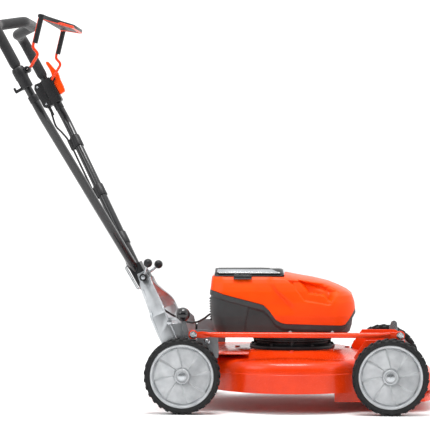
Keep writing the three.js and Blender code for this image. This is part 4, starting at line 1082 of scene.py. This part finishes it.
place_on(settle(catch), "handle_lock", "zinc", "lock_wire")
print("fold joint made")

# %% [markdown]
# ## The handle tubes and the foam grip
# Two drawn tubes splay up from the fold block, and a third, thinner tube telescopes into them and
# bends round as the crossbar. The foam sleeve is stretched over it and stops in a soft rounded end.

# %% Legs, upper tube and foam
TUBE_X = -11.5
LEG_R = 12.7
UPPER_R = 11.0
FOAM_R = 15.0
GRIP_Y = 247
LEG_BEND = 523
LEG_TOP = 584
FOAM_FROM = 675
BAR_AT = 816
HUMP_REACH = 62
HUMP_DROP = 14
HUMP_HALF = 80


def leg_y(along):
    return 20 + (GRIP_Y - 20) * (along - 17) / (LEG_BEND - 17)


def upper_line(start):
    def side(sign):
        return [handle_at(TUBE_X, sign * GRIP_Y, start), handle_at(TUBE_X, sign * GRIP_Y, BAR_AT),
                handle_at(TUBE_X, sign * (HUMP_HALF + 85), BAR_AT),
                handle_at(TUBE_X + HUMP_REACH, sign * HUMP_HALF, BAR_AT - HUMP_DROP)]
    return rounded(side(-1) + side(1)[::-1], 0.045, 12)


for side, sign in SIDES:
    corners = [handle_at(TUBE_X, sign * 20, 17), handle_at(TUBE_X, sign * GRIP_Y, LEG_BEND),
               handle_at(TUBE_X, sign * GRIP_Y, LEG_TOP)]
    leg = swept(f"leg_{side}_surface", rounded(corners, 0.09, 14), circle(LEG_R, 36), powder_black)
    place_on(settle(leg, bevel=0.8), "handle", "black_paint", f"handle_leg_{side}")
    collar_line = [handle_at(TUBE_X, sign * GRIP_Y, along) for along in (LEG_TOP - 16, LEG_TOP + 3)]
    collar = swept("leg_collar_" + side, collar_line, circle(LEG_R + 0.9, 36), nylon_black)
    place_on(settle(collar, bevel=0.8), "handle", "black_plastic")
upper = swept("upper_tube_surface", upper_line(LEG_TOP - 38), circle(UPPER_R, 32), powder_black)
place_on(settle(upper, sharp=60), "handle", "black_paint", "upper_handle")


def foam_section(share):
    """The sleeve necks down to the tube in its last centimetre."""
    end = min(share, 1 - share) * 110
    radius = UPPER_R + 0.4 + (FOAM_R - UPPER_R - 0.4) * math.sqrt(min(end / 1.2, 1.0))
    return circle(radius, 36)


foam_path = upper_line(FOAM_FROM)
foam_dense = []
for a, b in zip(foam_path, foam_path[1:]):
    count = max(1, round((b - a).length / 0.006))
    foam_dense += [a.lerp(b, i / count) for i in range(count)]
foam_dense.append(foam_path[-1])
sleeve = swept("foam_surface", foam_dense, foam_section, foam_black)
place_on(settle(sleeve, sharp=60), "handle", "foam", "foam_grip")
print("handle tubes made")

# %% [markdown]
# ## Bail clamp and switch box
# On the right a moulded clamp carries the bail's pivot. On the left the bail turns in a two-part
# switch box with a dark seam, and the cable leaves its foot through a ribbed strain relief.

# %% Clamp, boxes, start lever
def handle_block(name, x, y, along, material, taper=0.0):
    """A block in the handle's directions, drawn in by taper mm at both of its ends."""
    rings = []
    slope = max(taper, 0.1) * 2
    for a, inset in ((along[0], taper), (along[0] + slope, 0), (along[1] - slope, 0), (along[1], taper)):
        x0, x1, y0, y1 = x[0] + inset, x[1] - inset, y[0] + inset, y[1] - inset
        corners = ((x0, y0), (x1, y0), (x1, y1), (x0, y1))
        rings.append([handle_at(px, py, a) for px, py in corners])
    return lofted(name, rings, material)


TUBE_AXIS = HANDLE_FRAME.to_3x3() @ Vector((0, 0, 1))
clamp_foot = handle_at(TUBE_X, -GRIP_Y, 0)
shell = turned("clamp_shell", [(11.8, 612), (15.6, 612), (17, 614), (17.2, 640), (18.4, 643), (18.4, 668),
                               (16.8, 672), (16, 674.6), (11.8, 674.6)], TUBE_AXIS, clamp_foot,
               nylon_black, 56)
bail_pivot = (12, 657)
boss = turned("clamp_boss", [(4.7, -12), (8.6, -12), (9, -11), (9, 16.5), (4.7, 16.5)], (0, 1, 0),
              handle_at(bail_pivot[0], -GRIP_Y, bail_pivot[1]), nylon_black, 40)
neck = handle_block("clamp_neck", (0, bail_pivot[0] - 3), (-GRIP_Y - 9, -GRIP_Y + 10),
                    (bail_pivot[1] - 9, bail_pivot[1] + 9), nylon_black, 0.8)
hook = handle_block("clamp_hook", (-46, -24), (-GRIP_Y - 4.5, -GRIP_Y + 4.5), (613, 621), nylon_black, 0.8)
hook_tip = handle_block("clamp_hook_tip", (-48, -42), (-GRIP_Y - 6, -GRIP_Y + 6), (613, 629), nylon_black,
                        0.8)
clamp_parts = (shell, boss, neck, hook, hook_tip)
clamp = welded("bail_clamp_surface", [settle(piece, bevel=0.6) for piece in clamp_parts])
place_on(clamp, "handle", "black_plastic", "bail_clamp")
box_low_y, box_high_y = 230.5, 272
front_outline = [(-25.8, 590), (-22, 588), (4, 588), (8, 592), (8, 655), (5, 668), (-22, 668), (-25.8, 666)]
rear_outline = [(-26.2, 590), (-26.2, 666), (-44, 668), (-52, 656), (-52, 594), (-46, 588), (-29, 588)]
front_box = settle(plate("box_front", front_outline, box_low_y, box_high_y, nylon_black, handle_at),
                   bevel=2.4, segments=4)
boss = turned("box_boss", [(4.7, 0), (9, 0), (9, 6.5), (4.7, 6.5)], (0, 1, 0),
              handle_at(bail_pivot[0], box_low_y, bail_pivot[1]), nylon_black, 40)
ear = turned("lever_ear", [(0.01, 0), (7, 0), (7, 6), (0.01, 6)], (0, 1, 0),
             handle_at(16, box_high_y - 7, 655), nylon_black, 40)
front_box = welded("box_front_surface", [front_box, settle(boss, bevel=0.5), settle(ear, bevel=0.5)])
place_on(front_box, "handle", "black_plastic", "control_box_front")
rear_box = settle(plate("box_rear_surface", rear_outline, box_low_y, box_high_y, nylon_black, handle_at),
                  bevel=2.4, segments=4)
place_on(rear_box, "handle", "black_plastic", "control_box_rear")
seam = plate("box_seam", [(-27.6, 589.5), (-24.4, 589.5), (-24.4, 666.5), (-27.6, 666.5)],
             box_low_y + 1.2, box_high_y - 1.2, foam_black, handle_at)
place_on(settle(seam, bevel=0.3), "handle", "black_plastic")
box_screw = turned("box_screw", [(0.01, 0), (3.4, 0), (3.2, 1.2), (2.0, 1.8), (1.2, 1.0), (0.01, 1.0)],
                   (0, -1, 0), Vector((0, 0, 0)), plated_bolt, 20)
screws = repeated("box_screws", row_tree, box_screw, 2, HANDLE_FRAME.to_3x3() @ Vector((0, 0, 0.058)),
                  handle_at(-40, box_low_y + 0.2, 599), plated_bolt)
place_on(settle(screws), "handle", "zinc")
lever_outline = [(9.5, 606), (14, 606.5), (27, 609), (30, 626), (31, 647), (34, 660), (35, 668),
                 (33.5, 676), (31, 681), (27.5, 696), (24.5, 710), (21, 713.5), (17, 712.5), (15.8, 706),
                 (17, 690), (16.6, 680), (15.5, 672), (12, 664), (9.5, 656), (8.6, 630)]
lever = plate("start_lever_surface", lever_outline, box_low_y + 9, box_high_y - 9, abs_orange, handle_at)
place_on(settle(lever, bevel=2.6, segments=4), "start_lever", "orange_plastic", "start_lever")
relief_line = [handle_at(-38, 240, along) for along in (588.5, 584, 572, 560)]
relief = swept("strain_relief", smooth_line(relief_line, 8),
               lambda share: circle(5.6 - 2.0 * share + 0.5 * math.cos(share * 34), 20), cable_pvc)
place_on(settle(relief, sharp=60), "handle", "black_plastic")
print("clamp, boxes and start lever made")

# %% [markdown]
# ## The bail
# An orange wire loop with a kink near each pivot. Black covers clip over its straight legs and a
# broad thin paddle covers the crossbar, so the palms press on plastic and not on wire.

# %% Bail wire and its covers
BAIL_Y = 225
BAIL_R = 4
bail_foot, bail_head = Vector((56, 712)), Vector((109, 771))
bail_along = (bail_head - bail_foot).normalized()
bail_out = Vector((bail_along.y, -bail_along.x))
BAIL_HUMP = 76
BAIL_HUMP_HALF = 95


def on_bail(out, y, up):
    spot = bail_head + bail_out * out + bail_along * up
    return handle_at(spot.x, y, spot.y)


def bail_side(sign):
    return [handle_at(bail_pivot[0], sign * (BAIL_Y + 8), bail_pivot[1]),
            handle_at(bail_pivot[0], sign * BAIL_Y, bail_pivot[1]), handle_at(57, sign * BAIL_Y, 683),
            handle_at(52, sign * BAIL_Y, 705), handle_at(bail_foot.x, sign * BAIL_Y, bail_foot.y),
            on_bail(0, sign * BAIL_Y, 0), on_bail(0, sign * (BAIL_HUMP_HALF + 95), 0),
            on_bail(BAIL_HUMP, sign * BAIL_HUMP_HALF, 0)]


wire = swept("bail_wire_surface", rounded(bail_side(-1) + bail_side(1)[::-1], 0.012, 7),
             circle(BAIL_R, 20), powder_orange)
place_on(settle(wire, sharp=60), "bail", "orange_paint", "bail_wire")
leg_length = (bail_head - bail_foot).length
covers = []
for side, sign in SIDES:
    rings = []
    for up in [-leg_length + 6 + (leg_length + 3) * i / 10 for i in range(11)]:
        shape = [(-2, -7.5), (4, -8), (9, -6.5), (11, -3), (11, 2), (8, 4.2), (2, 4.6), (-2, 4.4)]
        rings.append([on_bail(out, sign * (BAIL_Y + y), up) for out, y in shape])
    covers.append(settle(lofted("leg_cover", rings, nylon_black), bevel=0.9))
paddle_outline = [(-6, -228), (10, -228), (12, -200), (24, -176)]
paddle_outline += [(BAIL_HUMP + 5 - 34 * (1 - math.sin(math.radians(a))),
                    -BAIL_HUMP_HALF - 30 + 44 * math.sin(math.radians(a)) ** 2)
                   for a in range(10, 91, 16)]
paddle_outline += [(out, -y) for out, y in reversed(paddle_outline)]
rings = []
for up, inset in ((-1.5, 2.2), (0.2, 0.4), (2.5, 0), (6.5, 0.6), (8.6, 3.2)):
    centre_out = 34
    rings.append([on_bail(out + (inset if out < centre_out else -inset), y * (1 - inset / 230), up)
                  for out, y in paddle_outline])
covers.append(settle(lofted("paddle", rings, nylon_black), bevel=0.4, sharp=30))
bail_cover = welded("bail_cover_surface", covers)
place_on(bail_cover, "bail", "black_plastic", "bail_cover")
RIB_HALF = 86


def rib_at(x, y, z):
    """A place in the rib seed's frame, in the paddle's directions, from mm."""
    fore, up = bail_out.x * x + bail_along.x * z, bail_out.y * x + bail_along.y * z
    return (HANDLE_FRAME.to_3x3() @ Vector((fore, y, up))) * MM


rib_outline = [(-1.1, 0), (1.1, 0), (0.7, 1.0), (-0.7, 1.0)]
rib = plate("paddle_rib", rib_outline, -RIB_HALF, RIB_HALF, nylon_black, rib_at)
rib_step = HANDLE_FRAME.to_3x3() @ Vector((bail_out.x * 0.0085, 0, bail_out.y * 0.0085))
ribs = repeated("paddle_ribs", row_tree, rib, 6, rib_step, on_bail(20, 0, 8.2), nylon_black)
place_on(settle(ribs, sharp=30), "bail", "black_plastic")
print("bail made")

# %% [markdown]
# ## Cable and clips
# One sheathed cable runs from the switch box down the left leg, past the fold bolt and along the
# left bracket into the tub. It is held all the way, so its route is the solid's route.

# %% The cable's two runs and three clips
SADDLE_BACK = TUBE_X - 25
CABLE_R = 3
CLIP_REACH = 18
upper_route = [(-38, 240, 587), (-39, 240, 574), (-42, 240, 560), (-47, 238, 527), (-39, 230, 500),
               (-31.5, 214, 462), (-31.5, 184, 383), (-31.5, 141, 286), (-31.5, 104, 204),
               (-31.5, 69, 127), (-31.5, 44, 70), (-31, 35, 34), (-30, 34, 8), (-29, 34, -13)]
lower_route = [(-145, 34, 338), (-139, 37, 327), (-125, 48, 308), (-100, 68, 283), (-70, 88, 258),
               (-40, 98, 240), (-6, 92, 227), (18, 80, 228), (42, 68, 240), (58, 61, 252), (76, 58, 257)]
upper_cable = swept("cable_upper", smooth_line([handle_at(*spot) for spot in upper_route], 8),
                    circle(CABLE_R, 16), cable_pvc)
settle(upper_cable, sharp=60)
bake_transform(upper_cable)
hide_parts("control_cable")
lower_cable = swept("cable_lower", smooth_line([deck_at(*spot) for spot in lower_route], 8),
                    circle(CABLE_R, 16), cable_pvc)
settle(lower_cable, sharp=60)
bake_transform(lower_cable)
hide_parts("motor_cable")
for i, along in enumerate((127, 286, 453)):
    reach = CLIP_REACH
    line = [handle_at(TUBE_X, leg_y(along + d), along + d) for d in (-reach, -reach + 2, reach - 2, reach)]
    band = swept("clip_band", line, lambda share: circle(LEG_R + 3 - (0.8 if share in (0, 1) else 0), 36),
                 nylon_black)
    saddle_rings = []
    for v in (along - reach, along + reach):
        low, high = leg_y(v) - 6, leg_y(v) + 6
        corners = ((SADDLE_BACK, low), (TUBE_X, low), (TUBE_X, high), (SADDLE_BACK, high))
        saddle_rings.append([handle_at(x, y, v) for x, y in corners])
    saddle = lofted("clip_saddle", saddle_rings, nylon_black)
    clip = welded(f"clip_{i + 1}_surface", [settle(band), settle(saddle, bevel=2.4, segments=4)])
    place_on(clip, "handle", "black_plastic", f"cable_clip_{i + 1}")
print("cables and clips made")

# %% [markdown]
# ## Floor, light and camera
# A pale floor, a bright room with a dark side behind the camera, one broad lamp overhead and two
# soft lamps at the sides give the even light of a product shelf. The dark side keeps black parts
# black where they face the viewer. The camera stands level with the housing, with a long lens.

# %% Stage, lamps and camera
floor_paint = finish("pale matt floor", "#FFFFFF", "#FDFDFD", (0.7, 0.8), patch=900, grain=40, depth=0.01)
bpy.ops.mesh.primitive_circle_add(vertices=96, radius=300, fill_type="NGON", location=(0, 0, -0.0005))
floor = bpy.context.object
floor.name = "floor"
floor.data.materials.append(floor_paint)
scene.view_settings.view_transform = "Standard"
world = bpy.data.worlds.new("pale room")
scene.world = world
world.use_nodes = True
backdrop = world.node_tree.nodes["Background"]
room = world.node_tree
toward = add(room, "ShaderNodeTexCoord")
parts = add(room, "ShaderNodeSeparateXYZ", links={"Vector": (toward, "Generated")})
behind = add(room, "ShaderNodeMapRange", {"From Min": -0.05, "From Max": -0.5, "To Min": 0.0, "To Max": 1.0},
             {"Value": (parts, "Y")}, interpolation_type="SMOOTHSTEP")
low_down = add(room, "ShaderNodeMapRange", {"From Min": 0.74, "From Max": 0.4, "To Min": 0.0, "To Max": 1.2},
               {"Value": (parts, "Z")}, interpolation_type="SMOOTHSTEP")
shade = add(room, "ShaderNodeMath", links={0: (behind, 0), 1: (low_down, 0)}, operation="MULTIPLY")
level = add(room, "ShaderNodeMath", {0: 1.3}, {1: (shade, 0)}, operation="SUBTRACT")
room.links.new(level.outputs[0], backdrop.inputs[1])
backdrop.inputs[0].default_value = (1, 1, 1, 1)


def lamp(name, place, target, size, watts):
    light = bpy.data.lights.new(name, "AREA")
    light.shape = "RECTANGLE"
    light.size, light.size_y = size
    light.energy = watts
    holder = bpy.data.objects.new(name, light)
    holder.location = place
    holder.rotation_euler = (Vector(target) - Vector(place)).to_track_quat("-Z", "Y").to_euler()
    scene.collection.objects.link(holder)


lamp("overhead softbox", (0.1, -0.6, 3.2), (0, 0, 0.3), (1.5, 0.8), 70)
lamp("left softbox", (-2.4, -2.2, 2.0), (0, 0, 0.5), (1.4, 1.8), 26)
lamp("right softbox", (2.8, -1.8, 1.4), (0, 0, 0.4), (1.0, 1.6), 12)

view_from = Vector((0.287, -5.272, 0.645))
yaw, pitch = math.radians(3.16), math.radians(1.1)
look = Vector((-math.sin(yaw) * math.cos(pitch), math.cos(yaw) * math.cos(pitch), -math.sin(pitch)))
camera_data = bpy.data.cameras.new("camera")
camera_data.lens = 153.3
camera_data.sensor_width = 36
camera_data.clip_end = 100
camera = bpy.data.objects.new("camera", camera_data)
camera.location = view_from
camera.rotation_euler = look.to_track_quat("-Z", "Y").to_euler()
scene.collection.objects.link(camera)
scene.camera = camera
print("camera placed")
